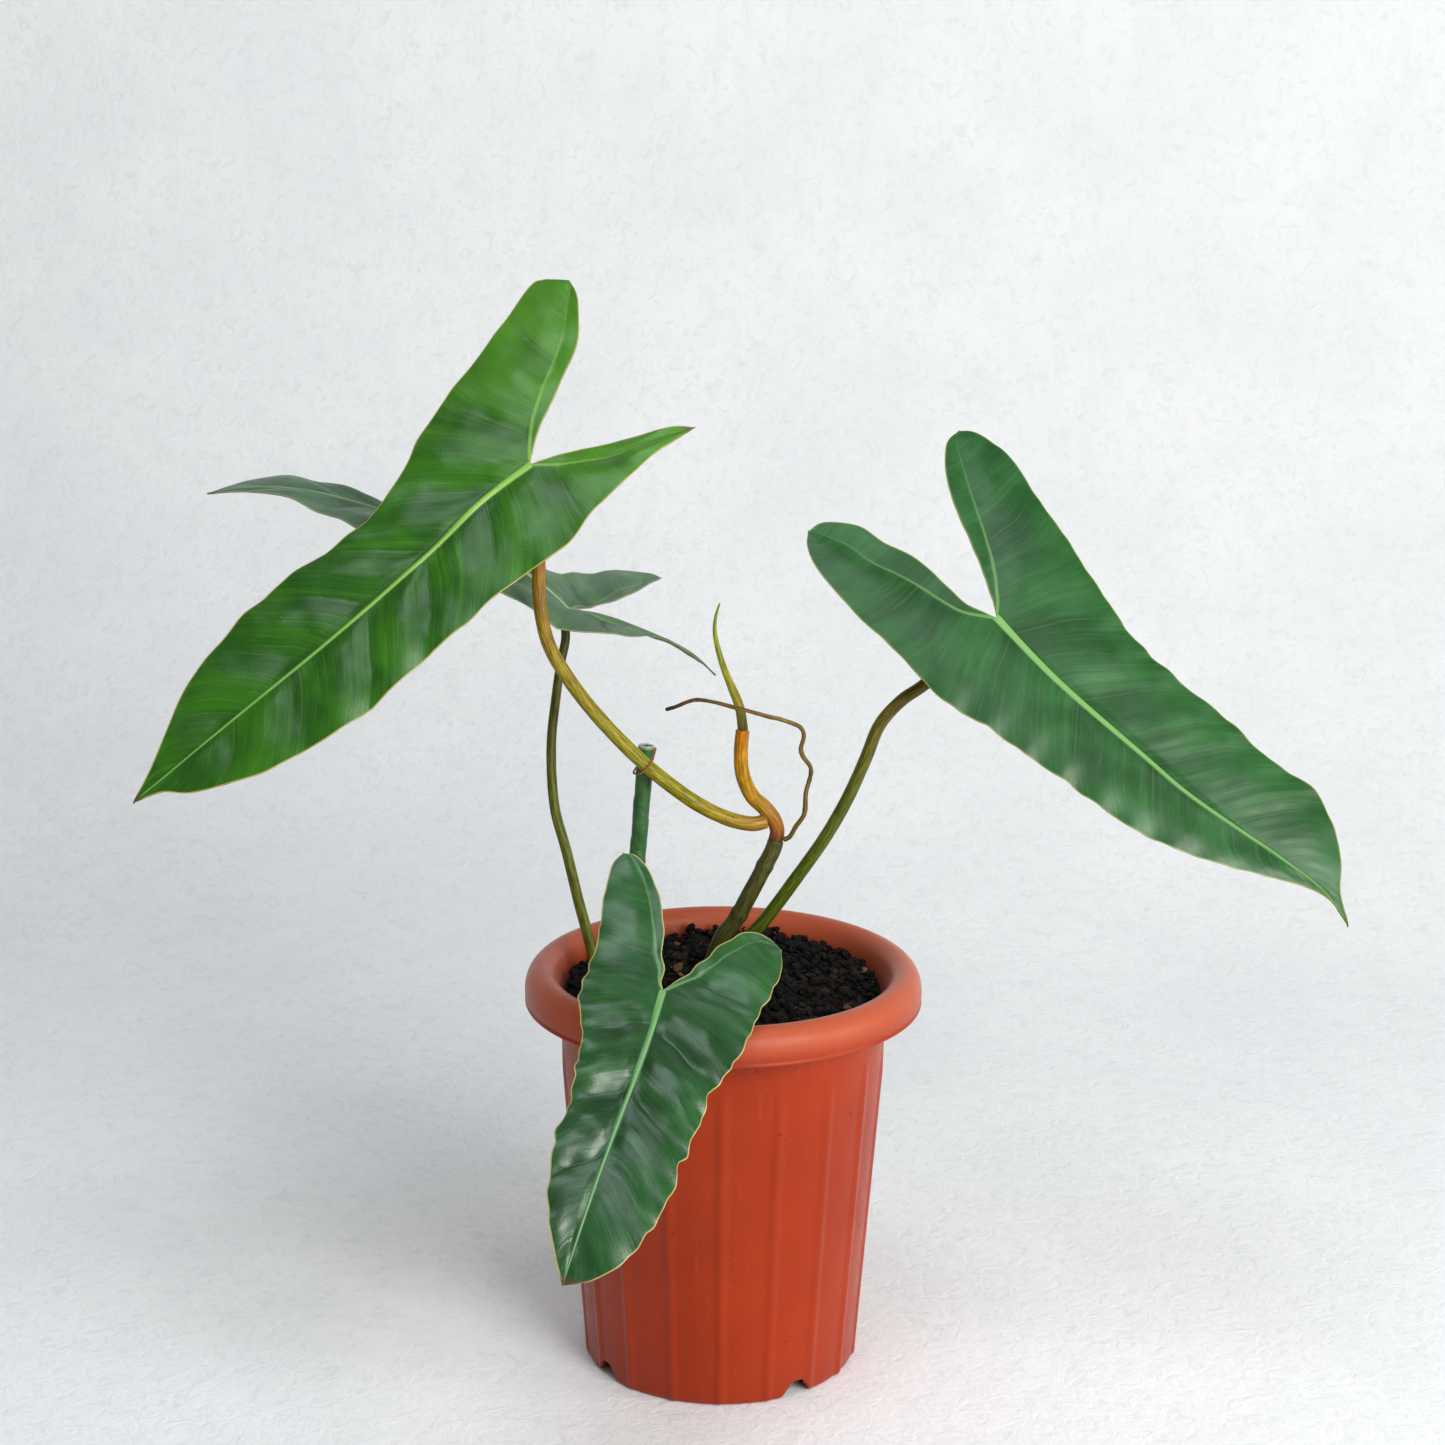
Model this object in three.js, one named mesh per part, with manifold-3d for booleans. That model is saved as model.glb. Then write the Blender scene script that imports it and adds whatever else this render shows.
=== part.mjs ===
// Potted philodendron with four arrow-shaped leaves, in millimetres, +Z up.
// The origin is the centre of the pot's underside; -Y is the front of the pot.
import * as THREE from 'three';
import { mergeVertices } from 'three/addons/utils/BufferGeometryUtils.js';
import Module from 'manifold-3d';

const wasm = await Module();
wasm.setup();

// Pot: a six-inch grow pot with a rolled rim, upright ridges and four drain notches.
const pot = {
  baseRadius: 55.2,
  neckRadius: 66.3,
  neckHeight: 150,
  rimRadius: 80,
  rimHeight: 167.5,
  mouthRadius: 67,
  wall: 2,
  rimWall: 1.7,
  floor: 2.4,
  ridges: 18,
  ridgeHeight: 0.9,
  ridgeHalfAngle: 1.4,
  ridgeTop: 134,
  notchAngles: [-56, 34, 124, 214],
  notchFoot: 15,
  notchTop: 5,
  notchHeight: 7,
};

// Soil: fills the pot to just under the rim, lumpy on top.
const soil = {
  level: 158,
  backRise: 2.5,
  gap: 0.4,
  rings: 15,
  around: 56,
  lumpHeight: 1.3,
};

// Clearance between pieces that touch on the real plant.
const seat = 0.35;

// Leaf blades: along runs from the sinus to the tip, across to the right seen from above.
const blade = {
  thickness: 0.9,
  lobeSteps: 9,
  bladeSteps: 20,
  across: [0, 0.09, 0.36, 0.62, 0.84, 1],
  keel: 2.4,
};

const leaves = {
  left: {
    colour: 0x3f7d2c,
    base: [-77, 12, 368],
    tip: [-226.3, -58, 253],
    facing: [-0.1, -0.8, 0.58],
    arch: 0,
    droop: 10,
    fold: 0.14,
    curl: 0.0032,
    twist: 0,
    puckers: 9,
    puckerHeight: 1.1,
    waves: 11,
    waveHeight: 0.9,
    midrib: [[0, 0], [24, 1], [54, -2], [104, -3.5], [157, -2], [201, 0]],
    right: {
      rise: -5,
      reach: 62,
      roll: [0, 0],
      shoulder: 0.35,
      inner: [[-67, 55], [-61, 43.5], [-48, 29], [-27, 17], [-14, 10.5], [0, 0]],
      outer: [[-67, 55], [-64, 62], [-53, 66], [-23, 55], [17, 43], [38, 33], [64, 26], [88, 27.5],
        [111, 29], [138, 26], [157, 21], [174, 12.5], [187, 5.5], [201, 0]],
    },
    left: {
      rise: -10,
      reach: 56,
      roll: [-5, 0],
      shoulder: 0.27,
      inner: [[-60, -28], [-53, -21.5], [-39, -14.5], [-24, -8], [-11, -3], [0, 0]],
      outer: [[-60, -28], [-52, -28], [-38, -28], [-8, -32], [14, -36], [39, -34], [86, -35.5],
        [115, -36], [146, -30.5], [167, -22.5], [182, -13.5], [190, -5], [201, 0]],
    },
  },
  right: {
    colour: 0x2f6b34,
    base: [106, 5, 310],
    tip: [241.3, -55.2, 206.4],
    facing: [0.1, -0.8, 0.58],
    arch: 0,
    droop: 9,
    fold: 0.12,
    curl: 0.0028,
    twist: 0,
    puckers: 7,
    puckerHeight: 1,
    waves: 15,
    waveHeight: 1,
    midrib: [[0, 0], [35, 4], [79, 4.5], [104, 4], [142, -1.5], [165, -3.5], [181, 0]],
    right: {
      rise: -6,
      reach: 76,
      roll: [0, 0],
      shoulder: 0.35,
      inner: [[-79, 21.5], [-77, 14], [-66, 6], [-54, 5], [-37, 1.5], [-14, 3.5], [0, 0]],
      outer: [[-79, 21.5], [-75, 27], [-65, 32], [-39, 37], [-20, 38], [6, 41], [30, 37.5], [58, 34.5],
        [87, 31.5], [107, 27], [134, 14.5], [156, 1.5], [168, -2.5], [181, 0]],
    },
    left: {
      rise: -8,
      reach: 64,
      roll: [0, 0],
      shoulder: 0.34,
      inner: [[-66, -57], [-64, -47], [-55, -36], [-40, -25], [-18, -12.5], [-7, -5.5], [0, 0]],
      outer: [[-66, -57], [-61, -62], [-52, -63], [-42, -62], [-15, -51.5], [12, -42], [43, -32.5],
        [61, -30.5], [93, -31], [119, -30.5], [137, -33], [151, -27], [162, -18], [170, -8], [181, 0]],
    },
  },
  front: {
    colour: 0x2b5f36,
    base: [-22.9, -72, 181.4],
    tip: [-56.6, -162.6, 104.3],
    facing: [0.05, -0.66, 0.72],
    arch: 7,
    droop: 4,
    fold: 0.16,
    curl: 0.004,
    twist: 0,
    puckers: 6,
    puckerHeight: 1.7,
    waves: 12,
    waveHeight: 1.1,
    midrib: [[0, 0], [30, -1.5], [78, -0.5], [123.7, 0]],
    right: {
      rise: -2,
      reach: 52,
      roll: [0, 0],
      shoulder: 0.33,
      inner: [[-55, 31], [-53, 25], [-48, 19], [-36, 11.5], [-19, 5.5], [0, 0]],
      outer: [[-55, 31], [-49, 35], [-31, 33.5], [-8, 30], [10, 29.5], [29, 24], [45, 20], [61, 19.5],
        [83, 18], [98, 14], [112, 7.5], [123.7, 0]],
    },
    left: {
      rise: -7,
      reach: 38,
      roll: [0, 0],
      shoulder: 0.28,
      inner: [[-34, -37.5], [-38, -32], [-39, -25], [-34, -18.5], [-16, -9], [0, 0]],
      outer: [[-34, -37.5], [-26, -40], [-14, -39.5], [20, -35], [39, -31], [60, -29], [78, -28],
        [97, -25], [111, -18.5], [120, -9.5], [123.7, 0]],
    },
  },
  back: {
    colour: 0x5b7d66,
    base: [-63.4, 36, 305.2],
    tip: [-213, 66, 345.4],
    facing: [0.22, -0.17, 0.96],
    arch: 16,
    droop: 0,
    fold: 0.05,
    curl: 0.001,
    twist: 0.1,
    puckers: 6,
    puckerHeight: 0.8,
    waves: 8,
    waveHeight: 0.8,
    midrib: [[0, 0], [50, 1], [104, 1.5], [157.8, 0]],
    right: {
      rise: 6,
      reach: 50,
      roll: [0, 0],
      shoulder: 0.38,
      inner: [[-26, 44], [-23, 37], [-20, 27], [-14, 16], [-7, 7], [0, 0]],
      outer: [[-26, 44], [-20, 47], [-9, 43.5], [-1, 37], [5, 27], [12, 16], [26, 11], [50, 10.5],
        [85, 11.5], [111, 15], [131, 17], [146, 11], [157.8, 0]],
    },
    left: {
      rise: -6,
      reach: 64,
      roll: [-1, 1],
      shoulder: 0.36,
      inner: [[-65, -5], [-57, 3], [-46, 8.5], [-28, 10], [-12, 8], [0, 0]],
      outer: [[-65, -5], [-57, 1], [-46, 5], [-36, 4], [-26, -5], [-7, -15], [6, -18.5],
        [20, -22], [60, -23], [90, -20.5], [109, -14], [126, -8], [143, -4], [157.8, 0]],
    },
  },
};

// Stalks: centre line points with the stalk's diameter at its foot and its head.
const stalks = {
  left: {
    colour: 0x8a8a32,
    foot: 6.1,
    head: 5.2,
    line: [[17.5, 14, 223.5], [12, 12.5, 222.5], [3.5, 12, 224], [-9, 10.5, 230], [-22, 9, 239.5],
      [-35, 8, 251], [-50, 7.5, 267], [-62, 6.5, 283], [-70, 6.5, 297.5], [-73.5, 8, 313.5],
      [-74, 12, 328], [-75.5, 17, 345], [-77.5, 18, 356], [-81.5, 12.5, 363.5]],
  },
  right: {
    colour: 0x6d7a36,
    foot: 5.6,
    head: 4.9,
    line: [[-3, 8, 148], [1.5, 9, 162], [6, 10, 170], [16, 10, 182], [29, 10, 200.5], [40.5, 10, 218],
      [49, 10, 234], [56, 10.5, 250.5], [61.5, 11.5, 264.5], [70, 13.5, 274], [77.5, 15, 279],
      [89, 16, 288], [99, 14, 297], [110.5, 5.5, 305]],
  },
  front: {
    colour: 0x5f7a3a,
    foot: 5,
    head: 4.4,
    line: [[-6, -3, 148], [-8, -9, 158], [-12, -22, 166.5], [-17, -42, 171.5], [-21.5, -62, 175],
      [-25.2, -76.5, 174.5]],
  },
  back: {
    colour: 0x6b6a34,
    foot: 4.7,
    head: 3.6,
    line: [[-50, 5, 148], [-52, 6.5, 160], [-53.5, 8, 170], [-56.5, 10, 181], [-59, 12.5, 189.5],
      [-64, 18, 208.5], [-69, 23, 226], [-70.5, 29, 250.5], [-69, 33, 267], [-67, 36, 282],
      [-65, 38.5, 293], [-65.8, 38.8, 299], [-69, 37.5, 304.3]],
  },
};

// The stem creeps below the soil, roots there, and rises to the growing shoot.
const stem = {
  colour: 0x7d8763,
  foot: 7.8,
  head: 6.5,
  line: [[-57, 3, 141], [-45, 1, 138.5], [-28, 5, 139], [-14, 9, 143.5], [-7, 11.5, 158], [0, 13, 175],
    [4.5, 13.5, 181], [11.5, 14, 194.5], [15.5, 14.5, 202.5], [20, 15, 212]],
  rootDiameter: 2.6,
  roots: [
    { from: 0.05, to: [-42, -22, 52] },
    { from: 0.14, to: [-30, 30, 70] },
    { from: 0.24, to: [-8, -38, 60] },
    { from: 0.33, to: [16, 26, 46] },
    { from: 0.4, to: [34, -6, 78] },
  ],
};

const sheath = {
  colour: 0xdd9a24,
  foot: 6.6,
  head: 5.8,
  line: [[20.4, 15, 214], [21.2, 15, 219], [19.5, 14.7, 224], [15.5, 14.5, 229], [11, 14.5, 233.5],
    [7.2, 14.7, 242], [6.3, 15, 251], [7, 15, 261.5]],
};

const newLeaf = {
  colour: 0xa4a832,
  foot: 3.6,
  head: 0.7,
  line: [[7, 15, 262], [5.5, 15, 270], [2.1, 15, 279], [-2, 15, 290], [-4.5, 15, 301], [-4.2, 15, 307],
    [-2.6, 15, 313]],
};

const aerialRoot = {
  colour: 0x8a6a34,
  foot: 2,
  head: 1.5,
  line: [[23.5, 14.5, 215.3], [26, 14, 216.5], [28.7, 12.5, 221.6], [31.8, 11, 227], [32.4, 9, 236.6],
    [34.2, 8, 247], [31, 8, 252], [30.1, 8, 255], [31.2, 8, 260.5], [30, 7, 264], [23.2, 6, 267.3],
    [16.4, 6, 269], [6, 6, 271.8], [-11.8, 6, 275.4], [-19.7, 6, 272.6], [-24, 6, 271.2]],
};

// Support stake: a tape-wrapped tube, open at the top, tied to the left stalk.
const stake = {
  colour: 0x2d5a34,
  diameter: 7,
  bore: 3.8,
  foot: [-45.2, 17, 70],
  head: [-31.7, 17, 254],
};

const tie = {
  colour: 0xa8642a,
  wire: 0.8,
  slack: 0.65,
  height: 247.5,
};

const potColour = 0xb9482c;
const soilColour = 0x231c18;

// Helpers

function vector(point) {
  return new THREE.Vector3(...point);
}

// Welds a list of corners into one closed body, without slivers of no area.
function closedBody(corners, triangles) {
  const geometry = new THREE.BufferGeometry();
  geometry.setAttribute('position', new THREE.Float32BufferAttribute(corners.flat(), 3));
  geometry.setIndex(triangles.flat());
  const welded = mergeVertices(geometry, 1e-4);
  const index = welded.index.array;
  const kept = [];
  for (let i = 0; i < index.length; i += 3) {
    const [a, b, c] = [index[i], index[i + 1], index[i + 2]];
    if (a !== b && b !== c && c !== a) kept.push(a, b, c);
  }
  welded.setIndex(kept);
  return welded;
}

function toSolid(geometry) {
  const bare = geometry.clone();
  bare.deleteAttribute('normal');
  bare.deleteAttribute('uv');
  const welded = mergeVertices(bare, 1e-4);
  return new wasm.Manifold(new wasm.Mesh({
    numProp: 3,
    vertProperties: new Float32Array(welded.attributes.position.array),
    triVerts: new Uint32Array(welded.index.array),
  }));
}

function toGeometry(solid) {
  const mesh = solid.getMesh();
  const geometry = new THREE.BufferGeometry();
  geometry.setAttribute('position', new THREE.BufferAttribute(mesh.vertProperties, 3));
  geometry.setIndex(new THREE.BufferAttribute(mesh.triVerts, 1));
  return geometry;
}

function largestPart(solid) {
  return solid.decompose().sort((a, b) => b.volume() - a.volume())[0];
}

// A round stalk of changing thickness along a smooth line, closed at both ends.
function stalkGeometry({ line, foot, head }, { sides = 8, steps = 16, grow = 0 } = {}) {
  const curve = new THREE.CatmullRomCurve3(line.map(vector), false, 'centripetal');
  const frames = curve.computeFrenetFrames(steps, false);
  const corners = [];
  for (let i = 0; i <= steps; i++) {
    const centre = curve.getPointAt(i / steps);
    if (i === 0) centre.addScaledVector(frames.tangents[0], -grow);
    if (i === steps) centre.addScaledVector(frames.tangents[steps], grow);
    const radius = THREE.MathUtils.lerp(foot, head, i / steps) / 2 + grow;
    for (let j = 0; j < sides; j++) {
      const angle = (2 * Math.PI * j) / sides;
      const corner = centre.clone()
        .addScaledVector(frames.normals[i], radius * Math.cos(angle))
        .addScaledVector(frames.binormals[i], radius * Math.sin(angle));
      corners.push(corner.toArray());
    }
  }
  const triangles = [];
  for (let i = 0; i < steps; i++) {
    for (let j = 0; j < sides; j++) {
      const a = i * sides + j;
      const b = i * sides + ((j + 1) % sides);
      triangles.push([a, b, b + sides], [a, b + sides, a + sides]);
    }
  }
  const last = steps * sides;
  for (let j = 1; j < sides - 1; j++) {
    triangles.push([0, j + 1, j], [last, last + j, last + j + 1]);
  }
  return closedBody(corners, triangles);
}

// Leaf blades

// Height of the blade above its flat outline.
function bladeLift(leaf, side, length, along, across) {
  const t = along / length;
  const outward = side === leaf.right ? across : -across;
  const lift = leaf.twist * across * (1 - THREE.MathUtils.clamp(t, 0, 1)) - leaf.curl * across ** 2;
  if (t <= 0) return lift + leaf.fold * outward + side.rise * (-along / side.reach) ** 1.5;
  const bend = leaf.arch * (1 - Math.abs(2 * t - 1) ** 3) - leaf.droop * t ** 3;
  return lift + leaf.fold * Math.abs(across) + bend;
}

// One half of the blade as a grid of points, from the lobe's end to the leaf's tip.
function halfGrid(leaf, length, side, place) {
  const inner = new THREE.SplineCurve(side.inner.map((p) => new THREE.Vector2(...p)));
  const midrib = new THREE.SplineCurve(leaf.midrib.map((p) => new THREE.Vector2(...p)));
  const outer = new THREE.SplineCurve(side.outer.map((p) => new THREE.Vector2(...p)));
  const { lobeSteps, bladeSteps } = blade;
  const grid = [];
  for (let i = 0; i <= lobeSteps + bladeSteps; i++) {
    const inLobe = Math.min(i / lobeSteps, 1);
    const inBlade = Math.max((i - lobeSteps) / bladeSteps, 0);
    const root = inBlade > 0 ? midrib.getPointAt(inBlade) : inner.getPointAt(inLobe);
    const rim = outer.getPointAt(side.shoulder * inLobe + (1 - side.shoulder) * inBlade);
    const run = (inLobe * lobeSteps + inBlade * bladeSteps) / (lobeSteps + bladeSteps);
    grid.push(blade.across.map((v) => {
      const flat = root.clone().lerp(rim, v);
      const belly = 4 * v * (1 - v) * Math.sin(Math.PI * Math.min(1, run * 1.02));
      const pucker = Math.sin(2 * Math.PI * (leaf.puckers * (run - 0.08 * v * v) + side.shoulder));
      const wave = Math.sin(2 * Math.PI * (leaf.waves * run + 2 * side.shoulder));
      const fade = Math.sin(Math.PI * run);
      let lift = bladeLift(leaf, side, length, flat.x, flat.y);
      lift += leaf.puckerHeight * pucker * belly;
      lift += leaf.waveHeight * wave * v ** 3 * fade;
      lift += (side.roll[0] * (1 - v) ** 2 + side.roll[1] * v ** 2) * Math.sin(Math.PI * inLobe) ** 2;
      return place(flat.x, flat.y, lift);
    }));
  }
  return grid;
}

// The whole blade, its two halves meeting on the midrib, with a keel below the midrib.
function bladeGeometry(leaf, grow = 0) {
  const base = vector(leaf.base);
  const axis = vector(leaf.tip).sub(base);
  const length = axis.length();
  axis.normalize();
  const facing = vector(leaf.facing);
  const up = facing.addScaledVector(axis, -facing.dot(axis)).normalize();
  const aside = new THREE.Vector3().crossVectors(axis, up);
  const place = (along, across, lift) => base.clone()
    .addScaledVector(axis, along)
    .addScaledVector(aside, across)
    .addScaledVector(up, lift);
  const rows = blade.lobeSteps + blade.bladeSteps;
  const columns = blade.across.length;
  const corners = [];
  const triangles = [];
  for (const [side, sign] of [[leaf.right, 1], [leaf.left, -1]]) {
    const grid = halfGrid(leaf, length, side, place);
    const start = corners.length;
    const upper = (i, j) => start + i * columns + j;
    const lower = (i, j) => upper(i, j) + (rows + 1) * columns;
    const addFace = (...face) => triangles.push(sign > 0 ? face : face.reverse());
    for (const row of grid) {
      for (const point of row) corners.push(point.clone().addScaledVector(up, grow).toArray());
    }
    grid.forEach((row, i) => {
      const inBlade = (i - blade.lobeSteps) / blade.bladeSteps;
      const keel = inBlade >= 0 ? blade.keel * (1 - inBlade) ** 0.7 : 0;
      row.forEach((point, j) => {
        const depth = blade.thickness + (j === 0 ? keel : 0) + grow;
        corners.push(point.clone().addScaledVector(up, -depth).toArray());
      });
    });
    for (let i = 0; i < rows; i++) {
      for (let j = 0; j < columns - 1; j++) {
        addFace(upper(i, j), upper(i + 1, j + 1), upper(i + 1, j));
        addFace(upper(i, j), upper(i, j + 1), upper(i + 1, j + 1));
        addFace(lower(i, j), lower(i + 1, j), lower(i + 1, j + 1));
        addFace(lower(i, j), lower(i + 1, j + 1), lower(i, j + 1));
      }
      const edge = columns - 1;
      addFace(upper(i, edge), lower(i + 1, edge), upper(i + 1, edge));
      addFace(upper(i, edge), lower(i, edge), lower(i + 1, edge));
      if (i < blade.lobeSteps) {
        addFace(upper(i, 0), upper(i + 1, 0), lower(i + 1, 0));
        addFace(upper(i, 0), lower(i + 1, 0), lower(i, 0));
      }
    }
  }
  return closedBody(corners, triangles);
}

// Pot

// Half section of the pot: up the outside, over the rolled rim, down the inside.
function potSection() {
  const { baseRadius, neckRadius, neckHeight, rimRadius, rimHeight, mouthRadius } = pot;
  const slope = (neckRadius - baseRadius) / neckHeight;
  const outside = (z) => baseRadius + slope * z;
  const lip = neckHeight + 3.3;
  const crown = (rimRadius + mouthRadius) / 2;
  return [
    [0, 0],
    [baseRadius - 1.6, 0],
    [outside(1.8), 1.8],
    [outside(pot.ridgeTop), pot.ridgeTop],
    [outside(pot.ridgeTop + 6), pot.ridgeTop + 6],
    [outside(lip), lip],
    [crown - 4.6, rimHeight - 4.4],
    [crown, rimHeight - pot.rimWall],
    [rimRadius - 3.8, rimHeight - 5.2],
    [rimRadius - pot.rimWall - 0.5, lip],
    [rimRadius - 0.9, lip],
    [rimRadius, rimHeight - 9.5],
    [rimRadius - 1.1, rimHeight - 4.4],
    [rimRadius - 3.9, rimHeight - 1.1],
    [crown - 0.4, rimHeight],
    [mouthRadius + 2.2, rimHeight - 1.4],
    [mouthRadius, rimHeight - 4.2],
    [mouthRadius - 1.1, rimHeight - 8.5],
    [outside(neckHeight - 3) - pot.wall, neckHeight - 3],
    [outside(pot.floor + 2) - pot.wall, pot.floor + 2],
    [outside(0) - pot.wall - 2, pot.floor],
    [0, pot.floor],
  ];
}

function potGeometry() {
  const section = potSection();
  const pitch = 360 / pot.ridges;
  const stations = [-pot.ridgeHalfAngle, 0, pot.ridgeHalfAngle, pitch / 2];
  const lathe = new THREE.LatheGeometry(
    section.map(([r, z]) => new THREE.Vector2(r, z)),
    pot.ridges * stations.length,
  );
  lathe.rotateX(Math.PI / 2);
  const position = lathe.attributes.position;
  for (let k = 0; k < position.count; k++) {
    const station = Math.floor(k / section.length);
    const place = station % stations.length;
    const row = k % section.length;
    const onWall = row === 2 || row === 3;
    const degrees = -90 + pitch * Math.floor(station / stations.length) + stations[place];
    const angle = THREE.MathUtils.degToRad(degrees);
    let radius = section[row][0];
    if (onWall && place === 1) radius += pot.ridgeHeight;
    if (onWall && place === 3) radius *= Math.cos(THREE.MathUtils.degToRad(pitch / 2));
    position.setXYZ(k, radius * Math.cos(angle), radius * Math.sin(angle), section[row][1]);
  }
  let body = toSolid(lathe);
  for (const degrees of pot.notchAngles) {
    body = body.subtract(toSolid(notchGeometry(degrees)));
  }
  return toGeometry(body);
}

// A trapezoid prism that cuts one drain notch through the foot of the wall.
function notchGeometry(degrees) {
  const outline = new THREE.Shape();
  outline.moveTo(-pot.notchFoot / 2 - 1, -1);
  outline.lineTo(pot.notchFoot / 2 + 1, -1);
  outline.lineTo(pot.notchTop / 2, pot.notchHeight);
  outline.lineTo(-pot.notchTop / 2, pot.notchHeight);
  const prism = new THREE.ExtrudeGeometry(outline, { depth: 16, bevelEnabled: false });
  prism.rotateX(Math.PI / 2);
  prism.translate(0, pot.baseRadius + 6, 0);
  prism.rotateZ(THREE.MathUtils.degToRad(degrees + 180));
  return prism;
}

// Soil

function soilHeight(x, y) {
  const lumps = Math.sin(0.55 * x + 1.3 * Math.sin(0.31 * y)) * Math.sin(0.6 * y + 1.1 * Math.sin(0.37 * x));
  const swell = Math.sin(0.09 * x + 0.6) * Math.cos(0.11 * y - 0.4);
  return soil.level + soil.lumpHeight * (lumps + 0.6 * swell) + soil.backRise * (y / pot.mouthRadius);
}

function soilGeometry() {
  const slope = (pot.neckRadius - pot.baseRadius) / pot.neckHeight;
  const inside = (z) => pot.baseRadius + slope * z - pot.wall - soil.gap - 0.9;
  const bottom = pot.floor + soil.gap;
  const corners = [[0, 0, soilHeight(0, 0)]];
  const triangles = [];
  const ring = (radius, height) => {
    for (let j = 0; j < soil.around; j++) {
      const angle = (2 * Math.PI * j) / soil.around;
      const x = radius * Math.cos(angle);
      const y = radius * Math.sin(angle);
      corners.push([x, y, height ?? soilHeight(x, y)]);
    }
  };
  for (let i = 1; i <= soil.rings; i++) ring((inside(soil.level - 8) * i) / soil.rings);
  ring(inside(bottom + 3), bottom + 3);
  ring(inside(bottom) - 3, bottom);
  corners.push([0, 0, bottom]);
  const rings = soil.rings + 2;
  const at = (i, j) => 1 + (i - 1) * soil.around + (j % soil.around);
  for (let j = 0; j < soil.around; j++) {
    triangles.push([0, at(1, j), at(1, j + 1)]);
    for (let i = 1; i < rings; i++) {
      triangles.push([at(i, j), at(i + 1, j), at(i + 1, j + 1)]);
      triangles.push([at(i, j), at(i + 1, j + 1), at(i, j + 1)]);
    }
    triangles.push([at(rings, j), corners.length - 1, at(rings, j + 1)]);
  }
  return closedBody(corners, triangles);
}

// Stem with its buried creeping part and roots

// A root arches out of the stem and then down to its end.
function rootLine({ from, to }) {
  const start = new THREE.CatmullRomCurve3(stem.line.map(vector), false, 'centripetal').getPointAt(from);
  const bend = start.clone().lerp(vector(to), 0.45).add(new THREE.Vector3(3, 0, 12));
  return [start.toArray(), bend.toArray(), to];
}

function stemSolid(grow = 0) {
  let solid = toSolid(stalkGeometry(stem, { sides: 10, steps: 16, grow }));
  for (const root of stem.roots) {
    const strand = { line: rootLine(root), foot: stem.rootDiameter, head: stem.rootDiameter / 2 };
    solid = solid.add(toSolid(stalkGeometry(strand, { sides: 6, steps: 6, grow })));
  }
  return solid;
}

// Support stake

function stakeGeometry(grow = 0) {
  const foot = vector(stake.foot);
  const head = vector(stake.head);
  const length = foot.distanceTo(head);
  const outer = stake.diameter / 2 + grow;
  const bore = stake.bore / 2;
  const section = grow > 0
    ? [[0, -grow], [outer, -grow], [outer, length], [0, length]]
    : [[bore, 0], [outer, 0], [outer, length], [bore, length], [bore, 0]];
  const tube = new THREE.LatheGeometry(section.map(([r, z]) => new THREE.Vector2(r, z)), 12);
  const upright = new THREE.Vector3(0, 1, 0);
  const direction = head.clone().sub(foot).normalize();
  tube.applyQuaternion(new THREE.Quaternion().setFromUnitVectors(upright, direction));
  tube.translate(foot.x, foot.y, foot.z);
  return tube;
}

// A loop of thin cord round the stake and the left stalk, square to the stalk.
function tieGeometry() {
  const path = new THREE.CatmullRomCurve3(stalks.left.line.map(vector), false, 'centripetal');
  const samples = path.getSpacedPoints(200);
  const crossing = samples.findIndex((p) => p.z > tie.height);
  const centre = samples[crossing];
  const normal = samples[crossing + 1].clone().sub(samples[crossing - 1]).normalize();
  const foot = vector(stake.foot);
  const direction = vector(stake.head).sub(foot).normalize();
  const reach = centre.clone().sub(foot).dot(normal) / direction.dot(normal);
  const post = foot.clone().addScaledVector(direction, reach);
  const back = post.clone().sub(centre).normalize();
  const aside = new THREE.Vector3().crossVectors(normal, back);
  const clear = tie.slack + tie.wire / 2;
  const postStretch = 1 / Math.abs(direction.dot(normal));
  const stalkRadius = stalks.left.foot / 2 + clear;
  const postRadius = stake.diameter / 2 + clear;
  const points = [];
  for (let k = 0; k < 14; k++) {
    const angle = (2 * Math.PI * (k + 0.5)) / 14;
    const towardPost = Math.cos(angle);
    const hub = towardPost > 0 ? post : centre;
    const deep = towardPost > 0 ? postRadius : stalkRadius;
    const wide = towardPost > 0 ? postRadius * postStretch : stalkRadius * 1.1;
    points.push(hub.clone()
      .addScaledVector(back, deep * towardPost)
      .addScaledVector(aside, wide * Math.sin(angle)));
  }
  const loop = new THREE.CatmullRomCurve3(points, true, 'centripetal');
  return new THREE.TubeGeometry(loop, 42, tie.wire / 2, 6, true);
}

// Assembly

const plant = new THREE.Group();

function addPiece(name, geometry, colour, roughness) {
  const material = new THREE.MeshStandardMaterial({ color: colour, roughness, metalness: 0 });
  const mesh = new THREE.Mesh(geometry, material);
  mesh.name = name;
  plant.add(mesh);
}

addPiece('pot', potGeometry(), potColour, 0.42);

const stemBody = stemSolid();
addPiece('stem_and_roots', toGeometry(stemBody), stem.colour, 0.55);

const stemHole = stemSolid(seat);
const sheathHole = toSolid(stalkGeometry(sheath, { sides: 10, steps: 12, grow: seat }));
let ground = toSolid(soilGeometry()).subtract(stemHole).subtract(toSolid(stakeGeometry(seat)));

// Each leaf stalk stops short of its own blade on every side, and of the stem and the shoot.
const sideways = [[seat, 0, 0], [-seat, 0, 0], [0, seat, 0], [0, -seat, 0]];

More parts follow.
